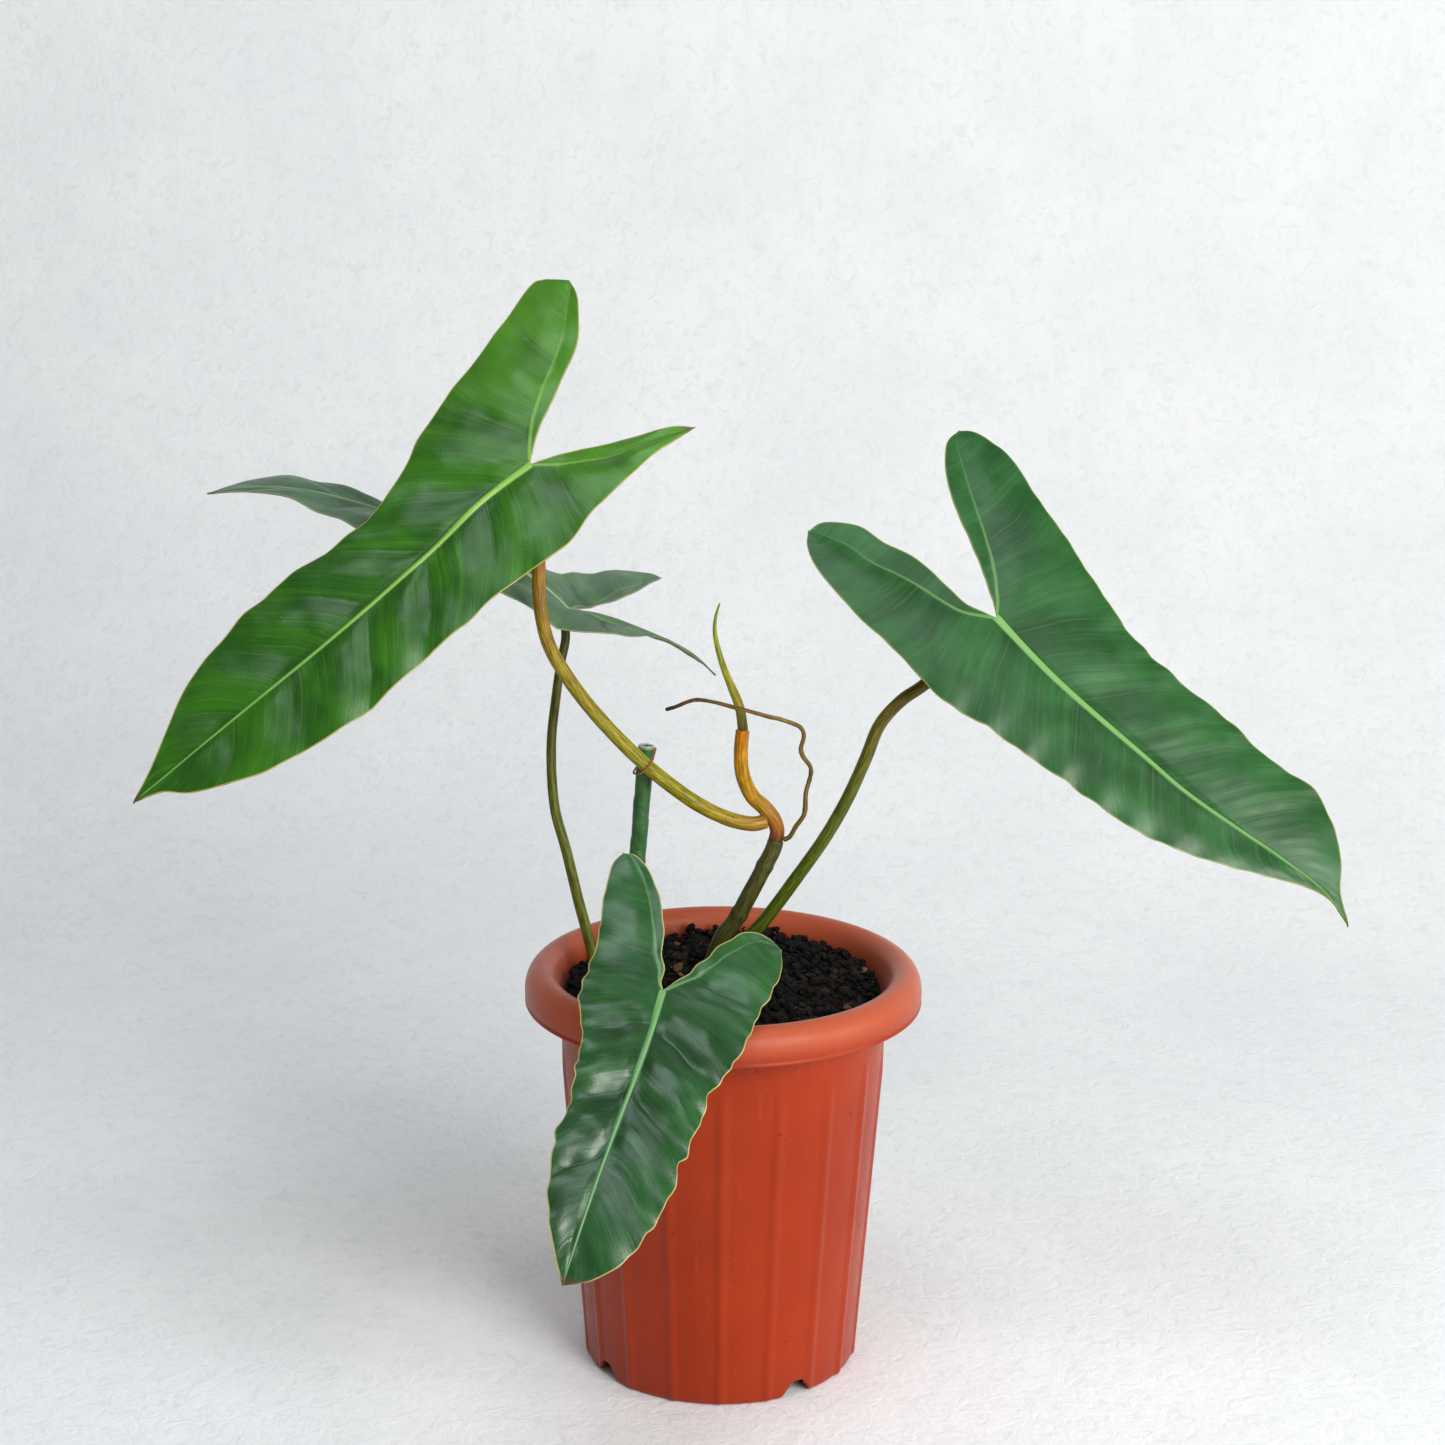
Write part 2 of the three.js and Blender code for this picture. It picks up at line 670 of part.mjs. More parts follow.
for (const [name, leaf] of Object.entries(leaves)) {
  const stalk = stalks[name];
  const bladeHole = toSolid(bladeGeometry(leaf, seat));
  const cutters = [stemHole, sheathHole, ...sideways.map((shift) => bladeHole.translate(shift))];
  const trimmed = cutters.reduce(
    (solid, cutter) => solid.subtract(cutter),
    toSolid(stalkGeometry(stalk)),
  );
  ground = ground.subtract(toSolid(stalkGeometry(stalk, { grow: seat })));
  addPiece(`petiole_${name}`, toGeometry(largestPart(trimmed)), stalk.colour, 0.45);
  addPiece(`leaf_${name}`, bladeGeometry(leaf), leaf.colour, 0.35);
}

addPiece('soil', toGeometry(largestPart(ground)), soilColour, 0.95);

const sheathBody = toSolid(stalkGeometry(sheath, { sides: 10, steps: 12 })).subtract(stemHole);
addPiece('shoot_sheath', toGeometry(largestPart(sheathBody)), sheath.colour, 0.4);

const spike = toSolid(stalkGeometry(newLeaf, { steps: 10 })).subtract(sheathHole);
addPiece('new_leaf_spike', toGeometry(largestPart(spike)), newLeaf.colour, 0.4);

const rootBody = toSolid(stalkGeometry(aerialRoot, { sides: 6, steps: 36 }));
const rootTrimmed = rootBody.subtract(stemHole).subtract(sheathHole);
addPiece('aerial_root', toGeometry(largestPart(rootTrimmed)), aerialRoot.colour, 0.6);

addPiece('support_stake', stakeGeometry(), stake.colour, 0.5);
addPiece('stalk_tie', toGeometry(toSolid(tieGeometry())), tie.colour, 0.6);

export default plant;
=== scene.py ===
import random
from functools import cache, partial
from math import atan2, cos, exp, hypot, pi, radians, sin, sqrt

import bmesh
import bpy
from mathutils import Matrix, Vector, noise


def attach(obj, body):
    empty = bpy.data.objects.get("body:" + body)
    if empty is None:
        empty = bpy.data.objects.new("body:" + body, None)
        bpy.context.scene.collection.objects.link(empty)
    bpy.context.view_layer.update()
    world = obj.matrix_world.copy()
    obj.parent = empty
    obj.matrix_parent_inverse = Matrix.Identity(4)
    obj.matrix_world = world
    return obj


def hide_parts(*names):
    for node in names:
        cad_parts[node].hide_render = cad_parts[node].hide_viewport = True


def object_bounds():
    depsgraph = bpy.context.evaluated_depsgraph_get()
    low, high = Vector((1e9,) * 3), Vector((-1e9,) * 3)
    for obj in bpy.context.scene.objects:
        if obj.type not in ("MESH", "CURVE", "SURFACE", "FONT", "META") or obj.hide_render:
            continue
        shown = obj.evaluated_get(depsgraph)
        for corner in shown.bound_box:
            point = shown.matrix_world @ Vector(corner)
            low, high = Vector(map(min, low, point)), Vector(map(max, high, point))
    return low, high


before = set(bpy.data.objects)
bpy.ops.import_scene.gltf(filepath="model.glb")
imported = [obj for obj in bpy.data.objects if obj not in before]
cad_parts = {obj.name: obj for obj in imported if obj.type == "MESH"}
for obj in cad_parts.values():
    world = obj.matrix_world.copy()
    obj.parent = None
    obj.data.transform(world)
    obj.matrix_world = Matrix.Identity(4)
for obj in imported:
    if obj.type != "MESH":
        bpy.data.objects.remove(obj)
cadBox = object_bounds()
print("frame loaded")

mm = 0.001  # sizes below are in millimetres, the studio's in metres


def clamp(value, low=0.0, high=1.0):
    return max(low, min(high, value))


def ease(value, low, high):
    t = clamp((value - low) / (high - low))
    return t * t * (3 - 2 * t)


def mix(a, b, t):
    return a + (b - a) * t


def noiseAt(x, y, z):
    return noise.noise(Vector((x, y, z)))


# sRGB hex to the linear colour that Blender works in
def linear(hexColour):
    channels = [int(hexColour[i:i + 2], 16) / 255 for i in (1, 3, 5)]
    return [c / 12.92 if c <= 0.04045 else ((c + 0.055) / 1.055) ** 2.4 for c in channels] + [1.0]


# Lines and surfaces

# A smooth line through points. Flat outlines are spaced evenly, stalks by the distance between their points.
def splinePoint(points, t, flat):
    last = len(points) - 1
    i = min(int(t * last), last - 1)
    w = t * last - i
    b, c = points[i], points[i + 1]
    if flat:
        a, d = points[max(i - 1, 0)], points[min(i + 2, last)]
        leave, arrive = (c - a) * 0.5, (d - b) * 0.5
    else:
        a = points[i - 1] if i else b * 2 - c
        d = points[i + 2] if i + 2 <= last else c * 2 - b
        before, here, after = [(q - p).length ** 0.5 for p, q in ((a, b), (b, c), (c, d))]
        leave = ((b - a) / before - (c - a) / (before + here) + (c - b) / here) * here
        arrive = ((c - b) / here - (d - b) / (here + after) + (d - c) / after) * here
    cubic = (b * 2 - c * 2 + leave + arrive) * w ** 3
    return cubic + (c * 3 - b * 3 - leave * 2 - arrive) * w ** 2 + leave * w + b


# Returns a function from 0..1 to the point at that share of the line's length, and the length.
def measuredLine(points, flat=False, pieces=200):
    points = [Vector(p) for p in points]
    samples = [splinePoint(points, k / pieces, flat) for k in range(pieces + 1)]
    lengths = [0.0]
    for p, q in zip(samples, samples[1:]):
        lengths.append(lengths[-1] + (q - p).length)

    def at(share):
        target = clamp(share) * lengths[-1]
        low, high = 0, pieces
        while high - low > 1:
            middle = (low + high) // 2
            low, high = (middle, high) if lengths[middle] <= target else (low, middle)
        step = (target - lengths[low]) / max(lengths[high] - lengths[low], 1e-9)
        return splinePoint(points, min((low + step) / pieces, 1.0), flat)

    return at, lengths[-1]


# Bends a grid into a surface: place(i, j) gives a point in mm and the marks that the material reads there.
def bendGrid(bm, rows, columns, place):
    layers = bm.verts.layers.float
    for vert in bmesh.ops.create_grid(bm, x_segments=rows, y_segments=columns, size=1)["verts"]:
        i = round((vert.co.x + 1) / 2 * rows)
        j = round((vert.co.y + 1) / 2 * columns)
        point, marks = place(i, j)
        vert.co = point * mm
        for label, value in marks.items():
            vert[layers[label]] = value


def newMesh(labels=()):
    bm = bmesh.new()
    for label in labels:
        bm.verts.layers.float.new(label)
    return bm


# Frames that follow a line without twisting: a centre and two directions across at each ring.
# Also returns the line's length.
def lineFrames(line, rings):
    at, length = measuredLine(line)
    centres = [at(i / rings) for i in range(rings + 1)]
    normal = Vector((0, 1, 0))
    frames = []
    for i, centre in enumerate(centres):
        tangent = (centres[min(i + 1, rings)] - centres[max(i - 1, 0)]).normalized()
        normal = (normal - tangent * normal.dot(tangent)).normalized()
        frames.append((centre, normal, tangent.cross(normal)))
    return frames, length


weldGap = 2e-6  # metres
tubeMarks = ("sectionX", "sectionY", "alongLine", "lineShare")


# A closed tube with rounded ends. radiusAt(share, angle) gives its radius in mm.
def addTube(bm, line, sides, rings, radiusAt, endRound=0.6):
    frames, length = lineFrames(line, rings)

    def place(i, j):
        centre, normal, binormal = frames[i]
        share, angle = i / rings, 2 * pi * j / sides
        fromEnd = min(i, rings - i) / rings * length
        radius = radiusAt(share, angle)
        if fromEnd < endRound:
            radius *= sqrt(clamp(1 - (1 - fromEnd / endRound) ** 2))
        x, y = radius * cos(angle), radius * sin(angle)
        return centre + normal * x + binormal * y, dict(zip(tubeMarks, (x, y, share * length, share)))

    bendGrid(bm, rings, sides, place)


# Welds a closed mesh and turns its faces outwards.
def cleanMesh(bm):
    bmesh.ops.remove_doubles(bm, verts=bm.verts, dist=weldGap)
    bmesh.ops.recalc_face_normals(bm, faces=bm.faces)


def addToScene(name, data):
    added = bpy.data.objects.new(name, data)
    bpy.context.scene.collection.objects.link(added)
    return added


# Puts a finished mesh in the scene as an object.
def addObject(name, bm, materials=()):
    mesh = bpy.data.meshes.new(name)
    bm.to_mesh(mesh)
    bm.free()
    for material in materials:
        mesh.materials.append(material)
    return addToScene(name, mesh)


# Hands a piece to the frame, in place of a node.
def placePiece(name, bm, materials, node):
    piece = addObject(name, bm, materials)
    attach(piece, "root")
    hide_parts(node)
    print("made", name, len(piece.data.polygons))
    return piece


# Welds a smooth piece, turns its faces outwards if it is closed, and hands it over.
def makePiece(name, bm, materials, node, closed=True):
    bmesh.ops.remove_doubles(bm, verts=bm.verts, dist=weldGap)
    bmesh.ops.dissolve_degenerate(bm, edges=bm.edges, dist=weldGap / 2)
    if closed:
        bmesh.ops.recalc_face_normals(bm, faces=bm.faces)
    piece = placePiece(name, bm, materials, node)
    piece.data.shade_smooth()
    return piece


# Materials

skipped = [None] * 5  # a Mix node's inputs between its share and its two colours


# Adds one node and returns an output of it. Plain values go to its inputs in order, and None passes one over.
# Named values go to the field or input of that name. An output of another node is linked, and a hex colour is
# made linear.
def addNode(tree, kind, *inputs, output=0, **named):
    node = tree.nodes.new("ShaderNode" + kind)
    for name, value in [*enumerate(inputs), *named.items()]:
        if isinstance(value, bpy.types.NodeSocket):
            tree.links.new(value, node.inputs[name])
        elif isinstance(name, str) and hasattr(node, name):
            setattr(node, name, value)
        elif value is not None:
            node.inputs[name].default_value = linear(value) if isinstance(value, str) else value
    return node.outputs[output]


# Starts a material. With it come the function that adds its nodes, the place on the object and the marks that
# it reads.
def newMaterial(name, settings, labels=()):
    material = bpy.data.materials.new(name)
    material.use_nodes = True
    add = partial(addNode, material.node_tree)
    for socket, value in settings.items():
        material.node_tree.nodes["Principled BSDF"].inputs[socket].default_value = value
    marks = [add("Attribute", attribute_name=label, output="Fac") for label in labels]
    return material, add, add("TexCoord", output="Object"), *marks


# Where something shows: from 0 at start smoothly up to its strength at end, times any other masks.
def addMask(add, source, start, end, strength=1.0, *others):
    low, high = (0.0, strength) if start < end else (strength, 0.0)
    mask = add("MapRange", source, *sorted((start, end)), low, high, interpolation_type="SMOOTHSTEP")
    for other in others:
        mask = add("Math", mask, other, operation="MULTIPLY")
    return mask


# Lays coats over a colour. Each coat is a mask, or the terms of one, and a colour.
def addCoats(add, colour, *coats):
    for mask, coat in coats:
        share = addMask(add, *mask) if isinstance(mask, tuple) else mask
        colour = add("Mix", share, *skipped, colour, coat, data_type="RGBA", output=2)
    return colour


# Adds sources up, each times its weight.
def addUp(add, *terms):
    total = None
    for source, weight in terms:
        if abs(weight) != 1:
            source = add("Math", source, abs(weight), operation="MULTIPLY")
        sign = "ADD" if weight > 0 else "SUBTRACT"
        total = add("Math", total, source, operation=sign) if total else source
    return total


# Joins the last nodes to the shader. rough holds a source, its range and the roughness at both ends of that,
# relief a height, a strength and a depth in mm.
def dressSurface(material, add, colour, rough, relief=None, extraRough=None):
    source, low, high, smooth, dull = rough
    roughness = add("MapRange", source, low, high, smooth, dull)
    if extraRough:
        roughness = add("Math", roughness, extraRough, operation="ADD")
    ends = {"Base Color": colour, "Roughness": roughness}
    if relief:
        height, strength, depth = relief
        ends["Normal"] = add("Bump", Height=height, Strength=strength, Distance=depth * mm)
    for socket, end in ends.items():
        material.node_tree.links.new(end, material.node_tree.nodes["Principled BSDF"].inputs[socket])
    return material


# Leaves

leafGrid = {
    "lobeSteps": 9, "bladeSteps": 20,  # the solids' rows in lobe and blade
    "finer": 10, "columns": 38,
    "thickness": 0.5, "keel": 2.8,
    "rimCluster": 0.11,  # draws the columns towards midrib and rim
}

# Base and tip are the ends of the midrib. Outlines lie flat in the blade, measured from the base along the
# midrib and across it. A pucker is a cushion between two main veins, and quilt scales its height.
# In a look, crease is the green of dark stripes and painted shade; shade is how strong the painted shade is.
leaves = {
    "left": {
        "base": (-77, 12, 368), "tip": (-226.3, -58, 253), "facing": (-0.1, -0.8, 0.58),
        "arch": 0, "droop": 10, "fold": 0.14, "curl": 0.0032, "twist": 0,
        "puckers": 9, "puckerHeight": 1.1, "waves": 11, "waveHeight": 0.8, "scallop": 0.9,
        "ribWidth": (2.9, 0.7), "seed": 11, "quilt": 1.05,
        "midrib": [(0, 0), (24, 1), (54, -2), (104, -3.5), (157, -2), (201, 0)],
        "right": {
            "rise": -5, "reach": 62, "roll": (0, 0), "shoulder": 0.35, "lobeRib": 0.24,
            "inner": [(-66.5, 57), (-65, 50.5), (-60.5, 43), (-48, 29), (-27, 17), (-14, 10.5), (0, 0)],
            "outer": [(-66.5, 57), (-64.5, 62), (-59.5, 65.3), (-53, 66), (-23, 55), (17, 43), (38, 33),
                      (64, 26), (88, 27.5), (111, 29), (138, 26), (157, 21), (174, 12.5), (187, 5.5),
                      (201, 0)],
        },
        "left": {
            "rise": -10, "reach": 56, "roll": (-5, 0), "shoulder": 0.27, "lobeRib": 0.42, "dryLobe": 0.7,
            "inner": [(-60, -28), (-53, -21.5), (-39, -14.5), (-24, -8), (-11, -3), (0, 0)],
            "outer": [(-60, -28), (-52, -28), (-38, -28), (-8, -32), (14, -36), (39, -34), (86, -35.5),
                      (115, -36), (146, -30.5), (167, -22.5), (182, -13.5), (190, -5), (201, 0)],
        },
        "look": {
            "gloss": 0.46, "grain": 0.8, "shade": 0.45, "crease": "#113806",
            "deep": "#1b4c08", "mid": "#2a620a", "light": "#5c9c22", "rib": "#84b046",
            "ribTip": "#5c9438", "margin": "#a89a4c", "under": "#6c9048", "roughness": 0.31, "lobeGlow": 0.45,
        },
    },
    "right": {
        "base": (106, 5, 310), "tip": (241.3, -55.2, 206.4), "facing": (0.1, -0.8, 0.58),
        "arch": 0, "droop": 9, "fold": 0.12, "curl": 0.0028, "twist": 0,
        "puckers": 7, "puckerHeight": 1, "waves": 15, "waveHeight": 0.6, "scallop": 1.1,
        "ribWidth": (3.3, 0.7), "seed": 23, "quilt": 0.18,
        "midrib": [(0, 0), (35, 4), (79, 4.5), (104, 4), (142, -1.5), (165, -3.5), (181, 0)],
        "right": {
            "rise": -6, "reach": 76, "roll": (0, 0), "shoulder": 0.35, "lobeRib": 0.36,
            "inner": [(-79, 21.5), (-77, 14), (-66, 6), (-54, 5), (-37, 1.5), (-14, 3.5), (0, 0)],
            "outer": [(-79, 21.5), (-75, 27), (-65, 32), (-39, 37), (-20, 38), (6, 41), (30, 37.5),
                      (58, 34.5), (87, 31.5), (107, 27), (134, 14.5), (156, 1.5), (168, -2.5), (181, 0)],
        },
        "left": {
            "rise": -8, "reach": 64, "roll": (0, 0), "shoulder": 0.34, "lobeRib": 0.3,
            "inner": [(-65.5, -58), (-66, -52), (-63.5, -46), (-55, -36), (-40, -25), (-18, -12.5),
                      (-7, -5.5), (0, 0)],
            "outer": [(-65.5, -58), (-62, -61.5), (-57.5, -62.9), (-52, -63), (-42, -62), (-15, -51.5),
                      (12, -42), (43, -32.5), (61, -30.5), (93, -31), (119, -30.5), (137, -33), (151, -27),
                      (162, -18), (170, -8), (181, 0)],
        },
        "look": {
            "gloss": 0.42, "grain": 0.35, "shade": 0.3, "crease": "#0f3212",
            "deep": "#194719", "mid": "#275a29", "light": "#4e8850", "rib": "#77a65a",
            "ribTip": "#66984f", "margin": "#86893a", "under": "#5f8a50", "roughness": 0.37, "lobeGlow": 0.0,
        },
    },
    "front": {
        "base": (-22.9, -72, 181.4), "tip": (-56.6, -162.6, 104.3), "facing": (0.05, -0.66, 0.72),
        "arch": 7, "droop": 4, "fold": 0.16, "curl": 0.004, "twist": 0,
        "puckers": 6, "puckerHeight": 1.7, "waves": 12, "waveHeight": 1.1, "scallop": 3.2,
        "ribWidth": (2.8, 0.6), "seed": 37, "quilt": 0.75,
        "midrib": [(0, 0), (30, -1.5), (78, -0.5), (123.7, 0)],
        "right": {
            "rise": -2, "reach": 52, "roll": (0, 0), "shoulder": 0.33, "lobeRib": 0.22,
            "inner": [(-54, 32.5), (-55, 28.5), (-53, 24.5), (-48, 19), (-36, 11.5), (-19, 5.5), (0, 0)],
            "outer": [(-54, 32.5), (-51.5, 34.3), (-46.5, 35.3), (-31, 33.5), (-8, 30), (10, 29.5), (29, 24),
                      (45, 20), (61, 19.5), (83, 18), (98, 14), (112, 7.5), (123.7, 0)],
        },
        "left": {
            "rise": -7, "reach": 38, "roll": (0, 0), "shoulder": 0.28, "lobeRib": 0.22,
            "inner": [(-34, -37.5), (-38, -32), (-39, -25), (-34, -18.5), (-16, -9), (0, 0)],
            "outer": [(-34, -37.5), (-26, -40), (-14, -39.5), (20, -35), (39, -31), (60, -29),
                      (78, -28), (97, -25), (111, -18.5), (120, -9.5), (123.7, 0)],
        },
        "look": {
            "gloss": 0.64, "grain": 0.8, "shade": 0.35, "crease": "#0a270d",
            "deep": "#123a14", "mid": "#1f4f20", "light": "#468447", "rib": "#6ea262",
            "ribTip": "#5c9256", "margin": "#b0a458", "under": "#55804e", "roughness": 0.31, "lobeGlow": 0.15,
        },
    },
    "back": {
        "base": (-63.4, 36, 305.2), "tip": (-213, 66, 345.4), "facing": (0.22, -0.17, 0.96),
        "arch": 16, "droop": 0, "fold": 0.05, "curl": 0.001, "twist": 0.1,
        "puckers": 6, "puckerHeight": 0.8, "waves": 8, "waveHeight": 0.8, "scallop": 1.2,
        "ribWidth": (2.8, 0.7), "seed": 53, "quilt": 1.8,
        "midrib": [(0, 0), (50, 1), (104, 1.5), (157.8, 0)],
        "right": {
            "rise": 6, "reach": 50, "roll": (0, 0), "shoulder": 0.38, "lobeRib": 0.3,
            "inner": [(-26, 44), (-23, 37), (-20, 27), (-14, 16), (-7, 7), (0, 0)],
            "outer": [(-26, 44), (-20, 47), (-9, 43.5), (-1, 37), (5, 27), (12, 16), (26, 11),
                      (50, 10.5), (85, 11.5), (111, 15), (131, 17), (146, 11), (157.8, 0)],
        },
        "left": {
            "rise": -6, "reach": 64, "roll": (-1, 1), "shoulder": 0.36, "lobeRib": 0.3,
            "inner": [(-65, -5), (-57, 3), (-46, 8.5), (-28, 10), (-12, 8), (0, 0)],
            "outer": [(-65, -5), (-57, 1), (-46, 5), (-36, 4), (-26, -5), (-7, -15), (6, -18.5),
                      (20, -22), (60, -23), (90, -20.5), (109, -14), (126, -8), (143, -4), (157.8, 0)],
        },
        # partly painted sheen: paler, greyer greens than the other leaves, for a blade seen at a grazing
        # angle
        "look": {
            "gloss": 0.5, "grain": 0.8, "shade": 0.4, "crease": "#2e4c30",
            "deep": "#436345", "mid": "#547552", "light": "#7a997a", "rib": "#8aa67c",
            "ribTip": "#728f6c", "margin": "#98906a", "under": "#748f66", "roughness": 0.4, "lobeGlow": 0.0,
        },
    },
}


# The leaf's own axes: from sinus to tip, to the right, and up off the blade.
def leafAxes(leaf):
    base = Vector(leaf["base"])
    axis = Vector(leaf["tip"]) - base
    length = axis.length
    axis.normalize()
    facing = Vector(leaf["facing"])
    up = (facing - axis * facing.dot(axis)).normalized()
    return base, axis, axis.cross(up), up, length


# Height of the blade above its flat outline
def bladeLift(leaf, side, sign, length, along, across):
    t = along / length
    lift = leaf["twist"] * across * (1 - clamp(t)) - leaf["curl"] * across ** 2
    if t <= 0:
        return lift + leaf["fold"] * sign * across + side["rise"] * (-along / side["reach"]) ** 1.5
    bend = leaf["arch"] * (1 - abs(2 * t - 1) ** 3) - leaf["droop"] * t ** 3
    return lift + leaf["fold"] * abs(across) + bend


leafMarks = ("veinPhase", "acrossBlade", "ribOffset", "ribHalf", "rimGap", "towardTip", "ribShow", "veinShow",
             "dryTip")
keelLayer = "keel"
bladeForm = {
    "cushions": 24,  # how many differ before they repeat
    "lean": (-0.045, 0.05), "wander": 0.06,  # of the main veins, in lengths of the blade and in puckers
    "fineFold": 0.05, "marginDrop": 1.4, "slowWave": 0.5, "edgeWave": 0.4,
    "ribHeight": 0.4, "grooveDepth": 0.15, "grooveWidth": 0.9, "keelWidth": 3.2,
    "lobeRibHalf": (0.2, 0.75), "lobeRibHeight": 0.3, "lobeKeelWidth": 2.4, "valleyDepth": 1.6,
    "boxGap": 0.55,  # how far the blade stays inside the box of the solids
}


# One half of the blade. Veins leave the midrib as creases and the blade swells between them.
def addBladeHalf(bm, leaf, sideName):
    side, sign, form = leaf[sideName], 1 if sideName == "right" else -1, bladeForm
    base, axis, aside, up, length = leafAxes(leaf)
    innerAt, midribAt, outerAt = (measuredLine(points, flat=True)[0]
                                  for points in (side["inner"], leaf["midrib"], side["outer"]))
    lobeSteps, bladeSteps, finer = (leafGrid[k] for k in ("lobeSteps", "bladeSteps", "finer"))
    rows, columns = (lobeSteps + bladeSteps) * finer, leafGrid["columns"]
    chance = random.Random(leaf["seed"] * 10 + sign)
    swell = [chance.uniform(0.55, 1.25) for _ in range(form["cushions"])]
    skew = [chance.uniform(0.8, 1.3) for _ in range(form["cushions"])]
    offset = leaf["seed"] * 3.7 + sign
    low = [c / mm + form["boxGap"] for c in cadBox[0]]
    high = [c / mm - form["boxGap"] for c in cadBox[1]]

    @cache
    def row(i):
        inLobe = min(i / (lobeSteps * finer), 1)
        inBlade = max((i / finer - lobeSteps) / bladeSteps, 0)
        root = midribAt(inBlade) if inBlade > 0 else innerAt(inLobe)
        rim = outerAt(side["shoulder"] * inLobe + (1 - side["shoulder"]) * inBlade)
        return inLobe, inBlade, root, rim, (rim - root).length

    def place(i, j):
        inLobe, inBlade, root, rim, width = row(i)
        run, u = i / rows, j / columns
        v = u - leafGrid["rimCluster"] * sin(2 * pi * u)
        taper = sin(pi * run)
        # main veins lean towards the lobe's end in the lobe and towards the tip in the blade
        lean = mix(*form["lean"], ease(run, 0.14, 0.46))
        wander = form["wander"] * noiseAt(run * 9, v * 2.2, offset)
        phase = leaf["puckers"] * (run - lean * v ** 1.5) + side["shoulder"] + 0.25 + wander
        vein = int(phase) % form["cushions"]
        share = phase - int(phase)
        # the margin draws in where a main vein reaches it
        ripple = 0.5 * sin(pi * share) - 0.35
        ripple += 0.7 * noiseAt(run * leaf["waves"] * 2.4, 3 * sign, offset)
        ripple *= leaf["scallop"] * taper
        scallop = ripple * v ** 5 - (ripple * (1 - v) ** 5 if inLobe < 1 else 0)
        flat = root.lerp(rim, v + scallop / max(width, 8))
        lift = bladeLift(leaf, side, sign, length, flat.x, flat.y)
        # cushions swell between the veins and flatten towards midrib and margin
        pillow = 2 * sin(pi * share ** skew[vein]) ** 1.5 - 1
        pillow *= 1 + 0.9 * noiseAt(flat.x / 11, flat.y / 11, offset + 5)
        bulge = ease(v, 0, 0.2) * (1 - 0.6 * ease(v, 0.55, 1)) * sin(pi * min(1, run * 1.02)) ** 0.6
        lift += leaf["puckerHeight"] * leaf["quilt"] * swell[vein] * pillow * bulge
        lift += form["fineFold"] * sin(2 * pi * phase * 6) * ease(v, 0.05, 0.3) * (1 - v)
        lift -= form["marginDrop"] * clamp((v - 0.55) / 0.45) ** 2 * taper
        wave = sin(2 * pi * (leaf["waves"] * run + 2 * side["shoulder"]))
        lift += leaf["waveHeight"] * wave * v ** 3 * taper
        rollIn, rollOut = side["roll"]
        lift += (rollIn * (1 - v) ** 2 + rollOut * v ** 2) * sin(pi * inLobe) ** 2
        lift += form["slowWave"] * noiseAt(flat.x / 17, flat.y / 17, offset) * ease(v, 0, 0.3)
        lift += form["edgeWave"] * noiseAt(phase * 2.6, sign, offset) * v ** 6 * taper
        # the midrib stands a little proud between two shallow grooves
        fromRib = v * width if inBlade > 0 or inLobe == 1 else 99
        halfRib = mix(*leaf["ribWidth"], inBlade ** 0.8) / 2
        onRib = clamp(1 - (fromRib / halfRib) ** 2)
        groove = exp(-((fromRib - halfRib - 0.7) / form["grooveWidth"]) ** 2)
        lift += form["ribHeight"] * onRib - form["grooveDepth"] * groove * (1 - inBlade)
        ribOffset, ribHalf, ribShow = v * width, halfRib, 1
        veinShow = (1 - ease(v, 0.5, 0.95)) * (1 - ease(inBlade, 0.8, 0.95))
        keel = (1 - inBlade) ** 0.7 * (1 - ease(fromRib, 0, form["keelWidth"]))
        rimGap = (1 - v) * width
        # each lobe has a rib of its own, in a valley that closes towards the sinus
        if inLobe < 1:
            ribAt = side["lobeRib"] * (1 - inLobe ** 2.2)
            ribOffset, ribHalf = (v - ribAt) * width, mix(*form["lobeRibHalf"], inLobe)
            ribShow = mix(0.05, 0.6, inLobe)
            veinShow *= ease(v, ribAt - 0.02, ribAt + 0.02) * ease(inLobe, 0.1, 0.4)
            lift += form["lobeRibHeight"] * clamp(1 - (abs(ribOffset) / ribHalf) ** 2)
            valley = clamp(1 - abs(v - ribAt) / 0.3) ** 1.5
            lift -= form["valleyDepth"] * valley * sin(pi * inLobe) ** 0.7
            keel = max(keel, 0.3 * inLobe * (1 - ease(abs(ribOffset), 0, form["lobeKeelWidth"])))
            rimGap = min(rimGap, v * width)
        point = base + axis * flat.x + aside * flat.y + up * lift
        point = Vector([clamp(*terms) for terms in zip(point, low, high)])
        toTip = flat.x / length
        fromLobeEnd = (flat - Vector(side["inner"][0])).length
        dryTip = max(ease(toTip, 0.965, 0.992), side.get("dryLobe", 0) * (1 - ease(fromLobeEnd, 2, 7)))
        marks = (phase + 40 * (sign + 1), v, ribOffset, ribHalf, rimGap, toTip, ribShow, veinShow, dryTip)
        return point, {**dict(zip(leafMarks, marks)), keelLayer: keel}

    bendGrid(bm, rows, columns, place)


# Main veins count up in whole numbers along the blade, so this grain runs 30 units from one to the next.
def addVeinGrain(add, phase, across, stretch):
    stripe = add("Math", phase, 30.0, operation="MULTIPLY")
    length = add("Math", across, stretch, operation="MULTIPLY")
    return add("CombineXYZ", stripe, length)


def addRibMask(add, ribOffset, ribHalf, soft, *others):
    away = add("Math", ribOffset, operation="ABSOLUTE")
    outside = add("Math", away, ribHalf, operation="SUBTRACT")
    return addMask(add, outside, soft, -soft, 1.0, *others)


